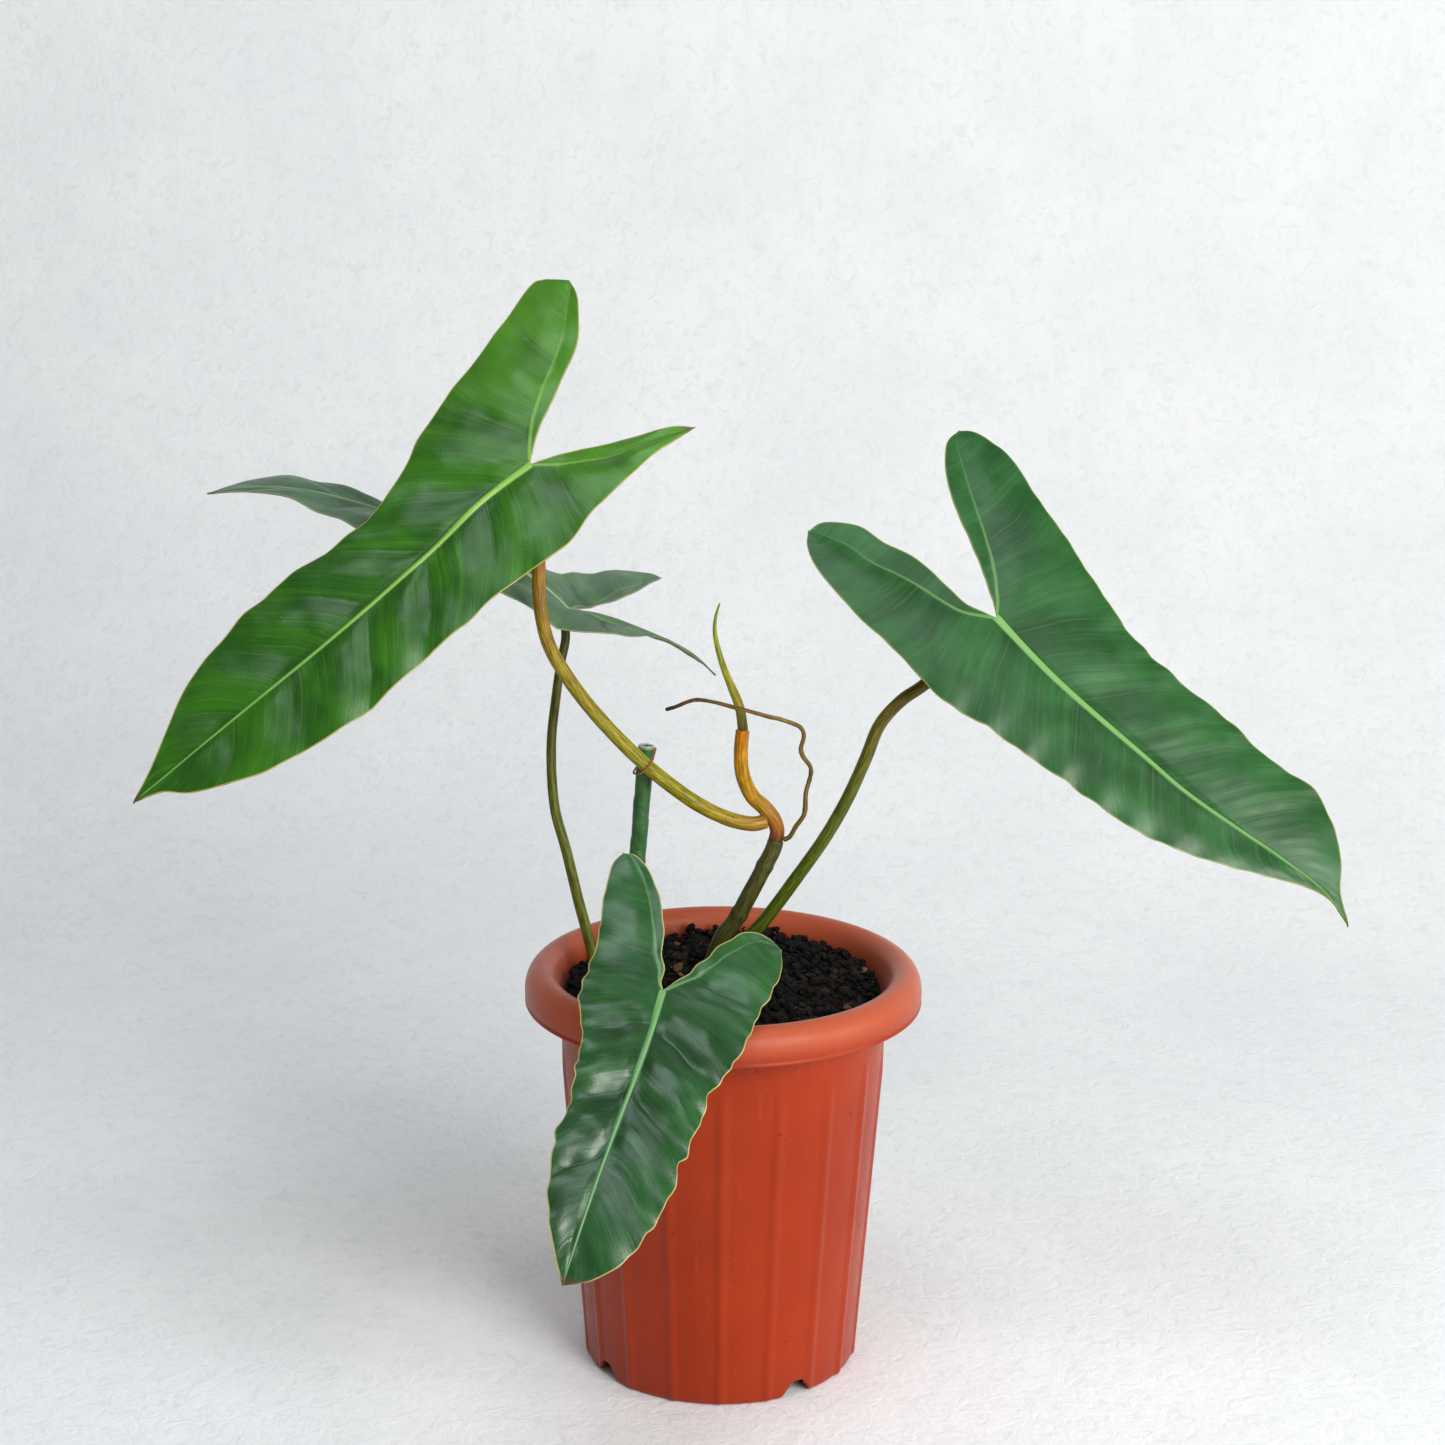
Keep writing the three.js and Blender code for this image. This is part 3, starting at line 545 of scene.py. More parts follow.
# Philodendron blade: a waxy cuticle over dark green tissue. The eye gets broad soft gloss broken by the
# veins, fine stripes that run with them, a pale flat midrib and a thin straw-coloured margin.
def cuticleMaterial(name, look):
    material, add, place, *marks = newMaterial(
        name, {"IOR": 1.45, "Specular IOR Level": look["gloss"]}, leafMarks)
    phase, across, ribOffset, ribHalf, rimGap, toTip, ribShow, veinShow, dryTip = marks
    grain = addVeinGrain(add, phase, across, 1.4)
    cloud = add("TexNoise", Vector=place, Scale=1 / (22 * mm), Detail=3)
    # 27 stripes from vein to vein, which is about one a millimetre, with finer ones between
    stripes = add("TexNoise", Vector=grain, Scale=1 / 1.1, Detail=2, Roughness=0.7)
    bands = add("TexNoise", Vector=grain, Scale=1 / 6, Detail=2)
    # main veins 30 to 37 mm apart: a pale hairline, painted shade in its fold and on one side of each cushion
    fromVein = add("Math", phase, 0.5, operation="PINGPONG")
    share = add("Math", phase, operation="FRACT")
    paintedFlankShade = addMask(add, share, 0.7, 0.05, look["shade"], addMask(add, share, 0.0, 0.08), veinShow)
    hairline = addMask(add, fromVein, 0.013, 0.004, 0.1, veinShow)
    specks = add("TexNoise", Vector=place, Scale=1 / (0.7 * mm), Detail=1)
    ribColour = addCoats(add, look["rib"], ((toTip, 0.0, 0.95), look["ribTip"]),
                         ((specks, 0.7, 0.76, 0.7), "#6d5a2c"))
    onRib = addRibMask(add, ribOffset, ribHalf, 0.25, ribShow)
    colour = addCoats(
        add, look["deep"],
        ((cloud, 0.35, 0.65), look["mid"]),
        ((bands, 0.46, 0.74, 0.16), look["light"]),
        ((stripes, 0.5, 0.68, 0.14), look["light"]),
        ((stripes, 0.5, 0.34, 0.16), look["crease"]),
        ((toTip, 0.15, -0.25, look["lobeGlow"]), look["light"]),
        # painted shade: one side of each cushion and the fold beside each main vein get the crease colour
        (paintedFlankShade, look["crease"]),
        ((fromVein, 0.1, 0.0, 0.45, veinShow), look["crease"]),
        (hairline, look["rib"]),
        (onRib, ribColour),
        ((rimGap, 0.6, 0.25, 0.9), look["margin"]),
        (dryTip, "#4a3a1a"))
    wear = add("TexNoise", Vector=place, Scale=1 / (9 * mm), Detail=4, Roughness=0.6)
    rough = (wear, 0.3, 0.7, look["roughness"] - 0.06, look["roughness"] + 0.09)
    pores = add("TexNoise", Vector=place, Scale=1 / (1.1 * mm), Detail=2)
    relief = addUp(add, (stripes, 0.8), (pores, 0.5), (hairline, -0.5))
    return dressSurface(material, add, colour, rough, (relief, look["grain"], 0.13), addUp(add, (onRib, 0.1)))


# The blade's underside is paler and duller, with the veins standing out.
def undersideMaterial(name, look):
    material, add, place, phase, across, ribOffset, ribHalf = newMaterial(
        name, {"IOR": 1.42, "Specular IOR Level": 0.4}, leafMarks[:4])
    cloud = add("TexNoise", Vector=place, Scale=1 / (20 * mm), Detail=3)
    grain = addVeinGrain(add, phase, across, 5.0)
    stripes = add("TexNoise", Vector=grain, Scale=1 / 0.6, Detail=3)
    fromVein = add("Math", phase, 0.5, operation="PINGPONG")
    colour = addCoats(
        add, look["under"],
        ((cloud, 0.3, 0.7), look["mid"]),
        ((stripes, 0.45, 0.7, 0.4), look["under"]),
        ((fromVein, 0.035, 0.012, 0.8), look["rib"]),
        (addRibMask(add, ribOffset, ribHalf, 0.4), look["rib"]))
    relief = addUp(add, (stripes, 1), (addMask(add, fromVein, 0.04, 0.0), -1))
    return dressSurface(material, add, colour, (cloud, 0, 1, 0.48, 0.66), (relief, 0.6, 0.12))


# The cut edge of the blade: dry and straw-coloured, in patches
def marginMaterial(name, look):
    material, add, place = newMaterial(name, {"IOR": 1.4})
    patch = add("TexNoise", Vector=place, Scale=1 / (6 * mm), Detail=3)
    colour = addCoats(add, look["margin"], ((patch, 0.35, 0.65), look["mid"]))
    return dressSurface(material, add, colour, (patch, 0, 1, 0.4, 0.6))


def makeLeaf(name, leaf):
    bm = newMesh(leafMarks + (keelLayer,))
    for sideName in ("right", "left"):
        addBladeHalf(bm, leaf, sideName)
    up = leafAxes(leaf)[3]
    bm.normal_update()
    bmesh.ops.reverse_faces(bm, faces=[face for face in bm.faces if face.normal.dot(up) < 0])
    keel = bm.verts.layers.float[keelLayer]
    deform = bm.verts.layers.deform.verify()
    for vert in bm.verts:
        vert[deform][0] = clamp(vert[keel])
    look = leaf["look"]
    skins = [cuticleMaterial(name + "Cuticle", look), undersideMaterial(name + "Underside", look),
             marginMaterial(name + "Margin", look)]
    piece = makePiece("blade_" + name, bm, skins, "leaf_" + name, closed=False)
    piece.vertex_groups.new(name=keelLayer)
    solid = piece.modifiers.new("thickness", "SOLIDIFY")
    solid.thickness = leafGrid["keel"] * mm
    solid.offset = -1
    solid.vertex_group = keelLayer
    solid.thickness_vertex_group = leafGrid["thickness"] / leafGrid["keel"]
    solid.material_offset = 1
    solid.material_offset_rim = 2


for leafName, leafShape in leaves.items():
    makeLeaf(leafName, leafShape)
print("leaves done")

# Stalks

stalks = {
    "left": {
        "foot": 6.1, "head": 5.2,
        "line": [(17.5, 14, 223.5), (12, 12.5, 222.5), (3.5, 12, 224), (-9, 10.5, 230), (-22, 9, 239.5),
                 (-35, 8, 251), (-50, 7.5, 267), (-62, 6.5, 283), (-70, 6.5, 297.5), (-73.5, 8, 313.5),
                 (-74, 12, 328), (-75.5, 17, 345), (-77.5, 18, 356)],
        "tones": ["#bd8e3c", "#a39c16", "#a29a18", "#a4901a", "#a97e20", "#b0682a", "#9c5224"],
    },
    "right": {
        "foot": 5.6, "head": 4.9,
        "line": [(-3, 8, 148), (1.5, 9, 162), (6, 10, 170), (16, 10, 182), (29, 10, 200.5),
                 (40.5, 10, 218), (49, 10, 234), (56, 10.5, 250.5), (61.5, 11.5, 264.5), (70, 13.5, 274),
                 (77.5, 15, 279), (89, 16, 288), (99, 14, 297)],
        "tones": ["#4a5a10", "#566812", "#5e6e14", "#6a6e18", "#7a681f", "#8a622c", "#8f5f30"],
    },
    "front": {
        "foot": 5, "head": 4.4,
        "line": [(-6, -3, 148), (-8, -9, 158), (-12, -22, 166.5), (-17, -42, 171.5), (-21.5, -62, 175)],
        "tones": ["#4d5f1e", "#587021", "#5f7d28", "#6b8c38"],
    },
    "back": {
        "foot": 4.7, "head": 3.6,
        "line": [(-50, 5, 148), (-52, 6.5, 160), (-53.5, 8, 170), (-56.5, 10, 181), (-59, 12.5, 189.5),
                 (-64, 18, 208.5), (-69, 23, 226), (-70.5, 29, 250.5), (-69, 33, 267), (-67, 36, 282),
                 (-65, 38.5, 293), (-65.8, 38.8, 299)],
        "tones": ["#77780c", "#77800e", "#6a7610", "#5c5f18", "#54501f", "#544a26"],
    },
}

# Under the blade the stalk runs on into the keel of the midrib: distance along the blade, depth, radius.
stalkHead = [(4, 3.3, 2.3), (11, 2.6, 1.8), (19, 1.7, 1.1), (26, 1.0, 0.5)]


# Living leaf stalk: firm, waxy and lengthwise streaked, with small corky specks.
# The eye gets a satin shine along its side and a colour that changes from the foot to the head.
def stalkMaterial(name, tones, roughness=0.36, specks="#4a2f16"):
    material, add, place, sectionX, sectionY, along, share = newMaterial(
        name, {"IOR": 1.45, "Specular IOR Level": 0.27}, tubeMarks)
    ramp = add("ValToRGB", share)
    stops = ramp.node.color_ramp.elements
    for i, tone in enumerate(tones):
        stop = stops[i] if i < 2 else stops.new(1.0)
        stop.position = i / (len(tones) - 1)
        stop.color = linear(tone)
    bright, dark = (add("Mix", 1.0, *skipped, ramp, tint, data_type="RGBA", blend_type="MULTIPLY", output=2)
                    for tint in ("#f2f0d8", "#8c8a78"))
    drawn = add("Math", along, 0.09, operation="MULTIPLY")
    section = add("CombineXYZ", sectionX, sectionY, drawn)
    # the section is in mm, so the streaks are 0.6 mm wide and eleven times as long
    streaks = add("TexNoise", Vector=section, Scale=1 / 0.6, Detail=3, Roughness=0.6)
    patches = add("TexNoise", Vector=place, Scale=1 / (12 * mm), Detail=2)
    cork = add("TexNoise", Vector=place, Scale=1 / (1.3 * mm), Detail=1)
    colour = addCoats(add, dark, ((streaks, 0.3, 0.7), bright), ((patches, 0.55, 0.75, 0.3), dark),
                      ((cork, 0.7, 0.78, 0.75), specks))
    relief = addUp(add, (streaks, 1), (cork, 0.4))
    return dressSurface(material, add, colour, (patches, 0.3, 0.7, roughness - 0.05, roughness + 0.14),
                        (relief, 0.5, 0.15))


def makeStalk(name, stalk):
    base, axis, _, up, _ = leafAxes(leaves[name])
    line = [Vector(p) for p in stalk["line"]]
    bodyLength = measuredLine(line)[1]
    line += [base + axis * along - up * depth for along, depth, _ in stalkHead]
    fullLength = measuredLine(line)[1]
    headShare = bodyLength / fullLength
    seed = leaves[name]["seed"]
    radii = [stalk["head"] / 2] + [radius for _, _, radius in stalkHead]

    def radiusAt(share, angle):
        if share < headShare:
            radius = mix(stalk["foot"], stalk["head"], share / headShare) / 2
        else:
            step = (share - headShare) / (1 - headShare) * (len(stalkHead) + 0.01)
            k = min(int(step), len(stalkHead) - 1)
            radius = mix(radii[k], radii[k + 1], clamp(step - k))
        lump = noiseAt(share * fullLength / 9, seed, cos(angle) * 0.4)
        groove = 0.04 * cos(3 * angle + seed)
        return radius * (1 + 0.035 * lump + groove * 0.5)

    bm = newMesh(tubeMarks)
    addTube(bm, line, 28, max(60, int(fullLength / 1.2)), radiusAt)
    material = stalkMaterial(name + "Stalk", stalk["tones"])
    makePiece("stalk_" + name, bm, [material], "petiole_" + name)


for stalkName, stalkShape in stalks.items():
    makeStalk(stalkName, stalkShape)
print("stalks done")

# Stem, sheath and new leaf

stem = {
    "foot": 7.8, "head": 6.5,
    "line": [(-57, 3, 141), (-45, 1, 138.5), (-28, 5, 139), (-14, 9, 143.5), (-7, 11.5, 158),
             (0, 13, 175), (4.5, 13.5, 181), (11.5, 14, 194.5), (15.5, 14.5, 202.5), (20, 15, 212),
             (20.8, 15, 216)],
    "tones": ["#26240f", "#2c2a12", "#383714", "#44461a", "#545628", "#605f32"],
    "scars": [0.5, 0.72, 0.9], "scarWidth": 0.012, "scarHeight": 0.35,
    "rootDiameter": 2.6,
    "roots": [(0.05, (-42, -22, 52)), (0.14, (-30, 30, 70)), (0.24, (-8, -38, 60)), (0.33, (16, 26, 46)),
              (0.4, (34, -6, 78))],
}


def makeStem():
    bm = newMesh(tubeMarks)

    def radiusAt(share, angle):
        ring = sum(exp(-((share - scar) / stem["scarWidth"]) ** 2) for scar in stem["scars"])
        lump = noiseAt(share * 20, cos(angle), sin(angle))
        return mix(stem["foot"], stem["head"], share) / 2 * (1 + 0.03 * lump) + stem["scarHeight"] * ring

    addTube(bm, stem["line"], 32, 150, radiusAt, endRound=1.5)
    stemAt = measuredLine(stem["line"][:-1])[0]
    for share, end in stem["roots"]:
        start = stemAt(share)
        bend = start.lerp(Vector(end), 0.45) + Vector((3, 0, 12))

        def rootRadius(along, angle):
            lump = noiseAt(along * 12, share * 50, 0)
            return mix(1, 0.5, along) * stem["rootDiameter"] / 2 * (1 + 0.15 * lump)

        addTube(bm, [start, bend, end], 10, 40, rootRadius)
    material = stalkMaterial("stemBark", stem["tones"], roughness=0.46, specks="#3b2a1c")
    makePiece("stem", bm, [material], "stem_and_roots")


makeStem()

sheath = {
    "foot": 6.6, "head": 5.8,
    "line": [(20.4, 15, 214), (21.2, 15, 219), (19.5, 14.7, 224), (15.5, 14.5, 229), (11, 14.5, 233.5),
             (7.2, 14.7, 242), (6.3, 15, 251), (7, 15, 261.5)],
    "tones": ["#5a2416", "#b4702a", "#c48c34", "#c8950a", "#cf9a04", "#dca004", "#dc9204", "#cc7c0c"],
}


# The sheath is a dry, papery wrap; one edge laps over the other along its whole length.
def makeSheath():
    bm = newMesh(tubeMarks)

    def radiusAt(share, angle):
        around = (angle / (2 * pi) + 0.2 * share + 0.15) % 1
        lap = 0.35 * around * ease(share, 0.05, 0.3)
        ribs = 0.05 * cos(14 * angle + 3 * share)
        return mix(sheath["foot"], sheath["head"], share) / 2 - 0.3 + lap + ribs

    addTube(bm, sheath["line"], 48, 110, radiusAt, endRound=1.2)
    material = stalkMaterial("sheathSkin", sheath["tones"], roughness=0.4, specks="#9a5a1c")
    makePiece("sheath", bm, [material], "shoot_sheath")


makeSheath()

newLeaf = {
    "foot": 4.2, "head": 0.7,
    "line": [(7, 15, 260.5), (5.5, 15, 270), (2.1, 15, 279), (-2, 15, 290), (-4.5, 15, 301),
             (-4.2, 15, 307), (-2.6, 15, 313)],
    "tones": ["#43420f", "#a8a22a", "#b4b032", "#a3aa34", "#93a43a", "#8c9c3c"],
}


# A leaf still rolled up: its free edge winds once round the spike.
def makeNewLeaf():
    bm = newMesh(tubeMarks)

    def radiusAt(share, angle):
        around = (angle / (2 * pi) + 0.8 * share) % 1
        return mix(newLeaf["foot"], newLeaf["head"], share ** 1.3) / 2 * (0.88 + 0.22 * around)

    addTube(bm, newLeaf["line"], 40, 100, radiusAt)
    material = stalkMaterial("rolledLeafSkin", newLeaf["tones"], specks="#6b6418")
    makePiece("new_leaf", bm, [material], "new_leaf_spike")


makeNewLeaf()

aerialRoot = {
    "foot": 2.0, "head": 1.5,
    "line": [(23.5, 14.5, 215.3), (26, 14, 216.5), (28.7, 12.5, 221.6), (31.8, 11, 227), (32.4, 9, 236.6),
             (34.2, 8, 247), (31, 8, 252), (30.1, 8, 255), (31.2, 8, 260.5), (30, 7, 264),
             (23.2, 6, 267.3), (16.4, 6, 269), (6, 6, 271.8), (-11.8, 6, 275.4), (-19.7, 6, 272.6),
             (-24, 6, 271.2)],
    "tones": ["#7a6a34", "#8a7434", "#84713a", "#7a6a30", "#8b6a32", "#9a7440", "#8a6a3c", "#7d6236",
              "#6a4c2a", "#1a1412"],
}


def makeAerialRoot():
    bm = newMesh(tubeMarks)

    def radiusAt(share, angle):
        lump = noiseAt(share * 60, 5, cos(angle) * 0.5)
        knot = noiseAt(share * 14, 9, 0)
        return mix(aerialRoot["foot"], aerialRoot["head"], share) / 2 * (1 + 0.13 * lump + 0.12 * knot)

    addTube(bm, aerialRoot["line"], 14, 240, radiusAt)
    material = stalkMaterial("aerialRootBark", aerialRoot["tones"], roughness=0.6, specks="#3b2714")
    makePiece("air_root", bm, [material], "aerial_root")


makeAerialRoot()
print("stem and shoot done")


# Adds a half section of (radius, height) points and turns it once round the upright axis.
def spinSection(bm, section, steps):
    verts = [bm.verts.new((radius * mm, 0, height * mm)) for radius, height in section]
    edges = [bm.edges.new(pair) for pair in zip(verts, verts[1:])]
    bmesh.ops.spin(bm, geom=verts + edges, cent=(0, 0, 0), axis=(0, 0, 1), angle=2 * pi,
                   steps=steps, use_merge=True)
    cleanMesh(bm)


# Pot

pot = {
    "baseRadius": 55.2, "slope": 0.074, "wall": 2.0,
    "ribs": 18, "ribHeight": 0.9, "ribHalfAngle": 3.2, "ribTop": 134, "ribFade": 9,
    "stations": 360,
    "notchAngles": (-56, 34, 124, 214), "notchTop": 5, "notchHeight": 7, "notchDepth": 16, "notchRound": 1.6,
    "notchFoot": 17, "notchUnder": -1,  # the cutter's width and height below the foot
    # a half section: up the outside, into the hollow of the rim, over its roll and down the inside
    "foot": [(0, 0), (40, 0), (53.2, 0), (54.4, 0.4), (55.1, 1.2)],
    "wallTop": 152,
    "hollow": [(69.1, 153.3), (69.3, 158), (70.2, 162.6), (73.0, 165.4), (76.0, 163.8), (77.6, 159.5),
               (78.0, 153.3)],
    "lip": [(78.5, 153.1), (79.3, 153.1), (79.9, 153.4), (79.95, 153.9), (79.6, 154.4)],
    "roll": [(79.5, 154.8), (79.8, 156.2), (80.0, 158.2), (79.6, 161.2), (78.5, 164.0), (76.3, 166.4),
             (73.2, 167.5), (70.3, 166.8), (68.2, 165.1), (67.0, 162.6), (65.9, 158), (64.6, 152.5),
             (64.0, 147)],
    "inside": (130, 100, 70, 40, 15, 5), "floor": [(52.6, 3.2), (51, 2.4), (0, 2.4)],
}


def potOutside(height):
    return pot["baseRadius"] + pot["slope"] * height


def potSection():
    def evenly(points, steps):
        at = measuredLine(points, flat=True)[0]
        return [tuple(at(k / steps)) for k in range(steps + 1)]

    outer = [(potOutside(z), z) for z in range(2, pot["wallTop"] + 1, 2)]
    inner = [(potOutside(z) - pot["wall"], z) for z in pot["inside"]]
    return (pot["foot"] + outer + evenly(pot["hollow"], 18) + pot["lip"] + evenly(pot["roll"], 44) + inner
            + pot["floor"])


# Injection-moulded polypropylene, dyed terracotta. The eye gets an even satin skin, slightly uneven in shine,
# with dust in fine patches, a few dark specks and fine scratches.
def potMaterial():
    material, add, place = newMaterial("terracottaPolypropylene", {
        "IOR": 1.49, "Specular IOR Level": 0.2, "Sheen Weight": 0.1, "Sheen Roughness": 0.35,
    })
    height = add("SeparateXYZ", place, output="Z")
    cloud = add("TexNoise", Vector=place, Scale=1 / (60 * mm), Detail=3)
    drawn = add("Mapping", Vector=place, Scale=(1.0, 1.0, 0.12))
    streaks = add("TexNoise", Vector=drawn, Scale=1 / (4 * mm), Detail=3, Roughness=0.6)
    dust = add("TexNoise", Vector=place, Scale=1 / (2.2 * mm), Detail=4, Roughness=0.7)
    # one speck to a cell 11 mm wide, shown in few of the cells
    cell = add("TexVoronoi", Vector=place, Scale=90.0, Randomness=1.0, output="Position")
    chosen = addMask(add, add("TexWhiteNoise", Vector=cell), 0.72, 0.8)
    speck = addMask(add, cell.node.outputs["Distance"], 0.1, 0.05, 1.0, chosen, 0.55)
    colour = addCoats(
        add, "#932a05",
        ((cloud, 0.3, 0.7), "#9d3008"),
        ((height, 0.152, 0.164, 0.8), "#b4583a"),  # painted sheen: paler rim, for the broad gloss on it
        ((height, 0.03, 0.0, 0.4), "#8f3018"),  # darker and duller at the foot
        ((streaks, 0.6, 0.85, 0.08), "#d98468"),
        ((dust, 0.6, 0.8, 0.08), "#e0b8a0"),
        (speck, "#3c1a10"))
    wear = add("TexNoise", Vector=place, Scale=1 / (13 * mm), Detail=4, Roughness=0.65)
    grain = add("TexNoise", Vector=place, Scale=1 / (0.9 * mm), Detail=2)
    relief = addUp(add, (grain, 1), (streaks, 1.2))
    return dressSurface(material, add, colour, (wear, 0.3, 0.7, 0.3, 0.44), (relief, 0.35, 0.12),
                        addMask(add, dust, 0.5, 0.8, 0.2))


# Cuts the four drain notches through the foot of the wall and returns the pot's mesh.
def cutNotches(whole):
    bm = bmesh.new()
    for degrees in pot["notchAngles"]:
        cube = bmesh.ops.create_cube(bm, size=1)["verts"]
        for vert in cube:
            wide, high = ("notchTop", "notchHeight") if vert.co.z > 0 else ("notchFoot", "notchUnder")
            vert.co = Vector((vert.co.x * pot[wide], vert.co.y * pot["notchDepth"], pot[high])) * mm
        # the two upper edges that run through the wall are rounded
        edges = {edge for vert in cube for edge in vert.link_edges}
        upper = [edge for edge in edges if all(end.co.z > 0 for end in edge.verts)
                 and abs(edge.verts[0].co.x - edge.verts[1].co.x) < mm / 2]
        result = bmesh.ops.bevel(bm, geom=upper, offset=pot["notchRound"] * mm, segments=4, profile=0.5,
                                 affect="EDGES", material=-1)
        turned = list({vert for vert in cube if vert.is_valid} | set(result["verts"]))
        bmesh.ops.translate(bm, verts=turned, vec=(0, (pot["baseRadius"] - 2) * mm, 0))
        turn = Matrix.Rotation(radians(degrees - 180), 3, "Z")
        bmesh.ops.rotate(bm, verts=turned, cent=(0, 0, 0), matrix=turn)
    cutter = addObject("notchCutter", bm)
    body = addObject("potBody", whole)
    cut = body.modifiers.new("notches", "BOOLEAN")
    cut.operation = "DIFFERENCE"
    cut.solver = "EXACT"
    cut.object = cutter
    result = bpy.data.meshes.new_from_object(body.evaluated_get(bpy.context.evaluated_depsgraph_get()))
    bpy.data.objects.remove(body)
    bpy.data.objects.remove(cutter)
    return result


def makePot():
    whole = bmesh.new()
    section = potSection()
    pitch = 360 / pot["ribs"]

    # the section is carried once round; on the outer wall it swells into the ribs
    def place(i, j):
        radius, height = section[i]
        degrees = 360 * j / pot["stations"]
        fromRib = min((degrees + 90) % pitch, pitch - (degrees + 90) % pitch) / pot["ribHalfAngle"]
        if fromRib < 1 and 1 < height < pot["ribTop"] + pot["ribFade"] and radius > potOutside(height) - 0.5:
            fade = 1 - ease(height, pot["ribTop"] - pot["ribFade"], pot["ribTop"] + pot["ribFade"])
            radius += pot["ribHeight"] * cos(fromRib * pi / 2) ** 2 * fade
        angle = radians(degrees)
        return Vector((radius * cos(angle), radius * sin(angle), height)), {}

    bendGrid(whole, len(section) - 1, pot["stations"], place)
    cleanMesh(whole)
    bm = bmesh.new()
    bm.from_mesh(cutNotches(whole))
    makePiece("grow_pot", bm, [potMaterial()], "pot")


makePot()
print("pot done")

# Soil

soil = {
    "level": 158, "backRise": 2.5, "lumpHeight": 1.3, "mouth": 67, "around": 128, "rings": 60,
    "deep": (140, 100, 60, 20, 6), "floor": 2.8,
    "crumbs": 1500, "grit": 3200, "chips": 46,
}


def soilRadius(height):
    return potOutside(height) - pot["wall"] - 0.6


def soilHeight(x, y):
    lumps = sin(0.55 * x + 1.3 * sin(0.31 * y)) * sin(0.6 * y + 1.1 * sin(0.37 * x))
    hills = sin(0.09 * x + 0.6) * cos(0.11 * y - 0.4)
    return soil["level"] + soil["lumpHeight"] * (lumps + 0.6 * hills) + soil["backRise"] * y / soil["mouth"]


# Peat and bark potting mix, damp. The eye gets near-black angular crumbs, a few with a dull glint.
def peatMaterial(name, dark, brown):
    material, add, place = newMaterial(name, {"IOR": 1.4, "Specular IOR Level": 0.22})
    patches = add("TexNoise", Vector=place, Scale=1 / (5 * mm), Detail=4, Roughness=0.7)
    cell = add("TexVoronoi", Vector=place, Scale=260.0, output="Color")  # a tint for each 4 mm
    tint = add("SeparateColor", cell, output="Red")
    colour = addCoats(add, dark, ((patches, 0.4, 0.75), brown), ((tint, 0.85, 1.0, 0.3), "#4a3828"))
    grit = add("TexNoise", Vector=place, Scale=1 / (1.4 * mm), Detail=4, Roughness=0.7)
    return dressSurface(material, add, colour, (patches, 0, 1, 0.55, 0.95), (grit, 0.8, 0.6))


# Scatters small angular bits on the soil, each pressed into it a little. A hundred at a time, as a large mesh
# takes new bits slowly.
def addBits(bm, count, sizes, flatness, chance, materialIndex):
    while count > 100:
        handful = bmesh.new()
        addBits(handful, 100, sizes, flatness, chance, materialIndex)
        mesh = bpy.data.meshes.new("handful")
        handful.to_mesh(mesh)
        handful.free()
        bm.from_mesh(mesh)
        bpy.data.meshes.remove(mesh)
        count -= 100
    reach = soilRadius(soil["level"] - 2) - 2.2
    for _ in range(count):
        angle = chance.uniform(0, 2 * pi)
        radius = reach * sqrt(chance.random())
        x, y = radius * cos(angle), radius * sin(angle)
        size = mix(*sizes, chance.random() ** 1.8)
        bit = bmesh.ops.create_icosphere(bm, subdivisions=1, radius=size / 2 * mm)["verts"]
        wide, deep, thick = (chance.uniform(*span) for span in ((0.7, 1.3), (0.6, 1.2), (0.6, 1.2)))
        stretch = Vector((wide, deep, flatness * thick))
        turn = Matrix.Rotation(chance.uniform(0, 6.28), 3, "Z")
        turn = turn @ Matrix.Rotation(chance.uniform(-0.9, 0.9), 3, "X")
        centre = Vector((x, y, soilHeight(x, y) + size * chance.uniform(-0.1, 0.32))) * mm
        for vert in bit:
            jag = chance.uniform(0.72, 1.18)
            vert.co = turn @ Vector([c * s * jag for c, s in zip(vert.co, stretch)]) + centre
        for face in {face for vert in bit for face in vert.link_faces}:
            face.material_index = materialIndex


def makeSoil():
    bm = bmesh.new()
    edge = soilRadius(soil["level"] - 4)
    section = [(edge * k / soil["rings"], soil["level"]) for k in range(soil["rings"] + 1)]
    section += [(soilRadius(z), z) for z in soil["deep"]]
    section += [(soilRadius(3) - 3, soil["floor"]), (0, soil["floor"])]
    spinSection(bm, section, soil["around"])
    for vert in bm.verts:
        x, y, z = (c / mm for c in vert.co)
        if z > soil["deep"][0] + 10:
            rough = noiseAt(x / 2.3, y / 2.3, 1) + 0.6 * noiseAt(x / 1.1, y / 1.1, 7)
            fade = 1 - ease(hypot(x, y), edge - 3, edge)
            vert.co.z = (soilHeight(x, y) - 0.5 + rough * 0.9 * fade - 2 * (1 - fade)) * mm
    chance = random.Random(4)
    addBits(bm, soil["crumbs"], (2.0, 6.0), 0.8, chance, 0)
    addBits(bm, soil["grit"], (0.8, 2.2), 0.9, chance, 0)
    addBits(bm, soil["chips"], (2.0, 5.5), 0.35, chance, 1)
    peat = peatMaterial("dampPeat", "#080605", "#17110d")
    chips = peatMaterial("barkChips", "#5b3f28", "#8a6642")
    bmesh.ops.remove_doubles(bm, verts=bm.verts, dist=weldGap / 20)
    placePiece("potting_soil", bm, [peat, chips], "soil")


makeSoil()
print("soil done")

# Support stake and tie

stake = {
    "radius": 3.5, "bore": 1.9, "foot": (-45.2, 17, 70), "head": (-31.7, 17, 254),
    "wrapPitch": 17.0, "wrapStep": 0.32,
}
tapeMarks = ("wrapShare", "boreShade", "raggedRim")


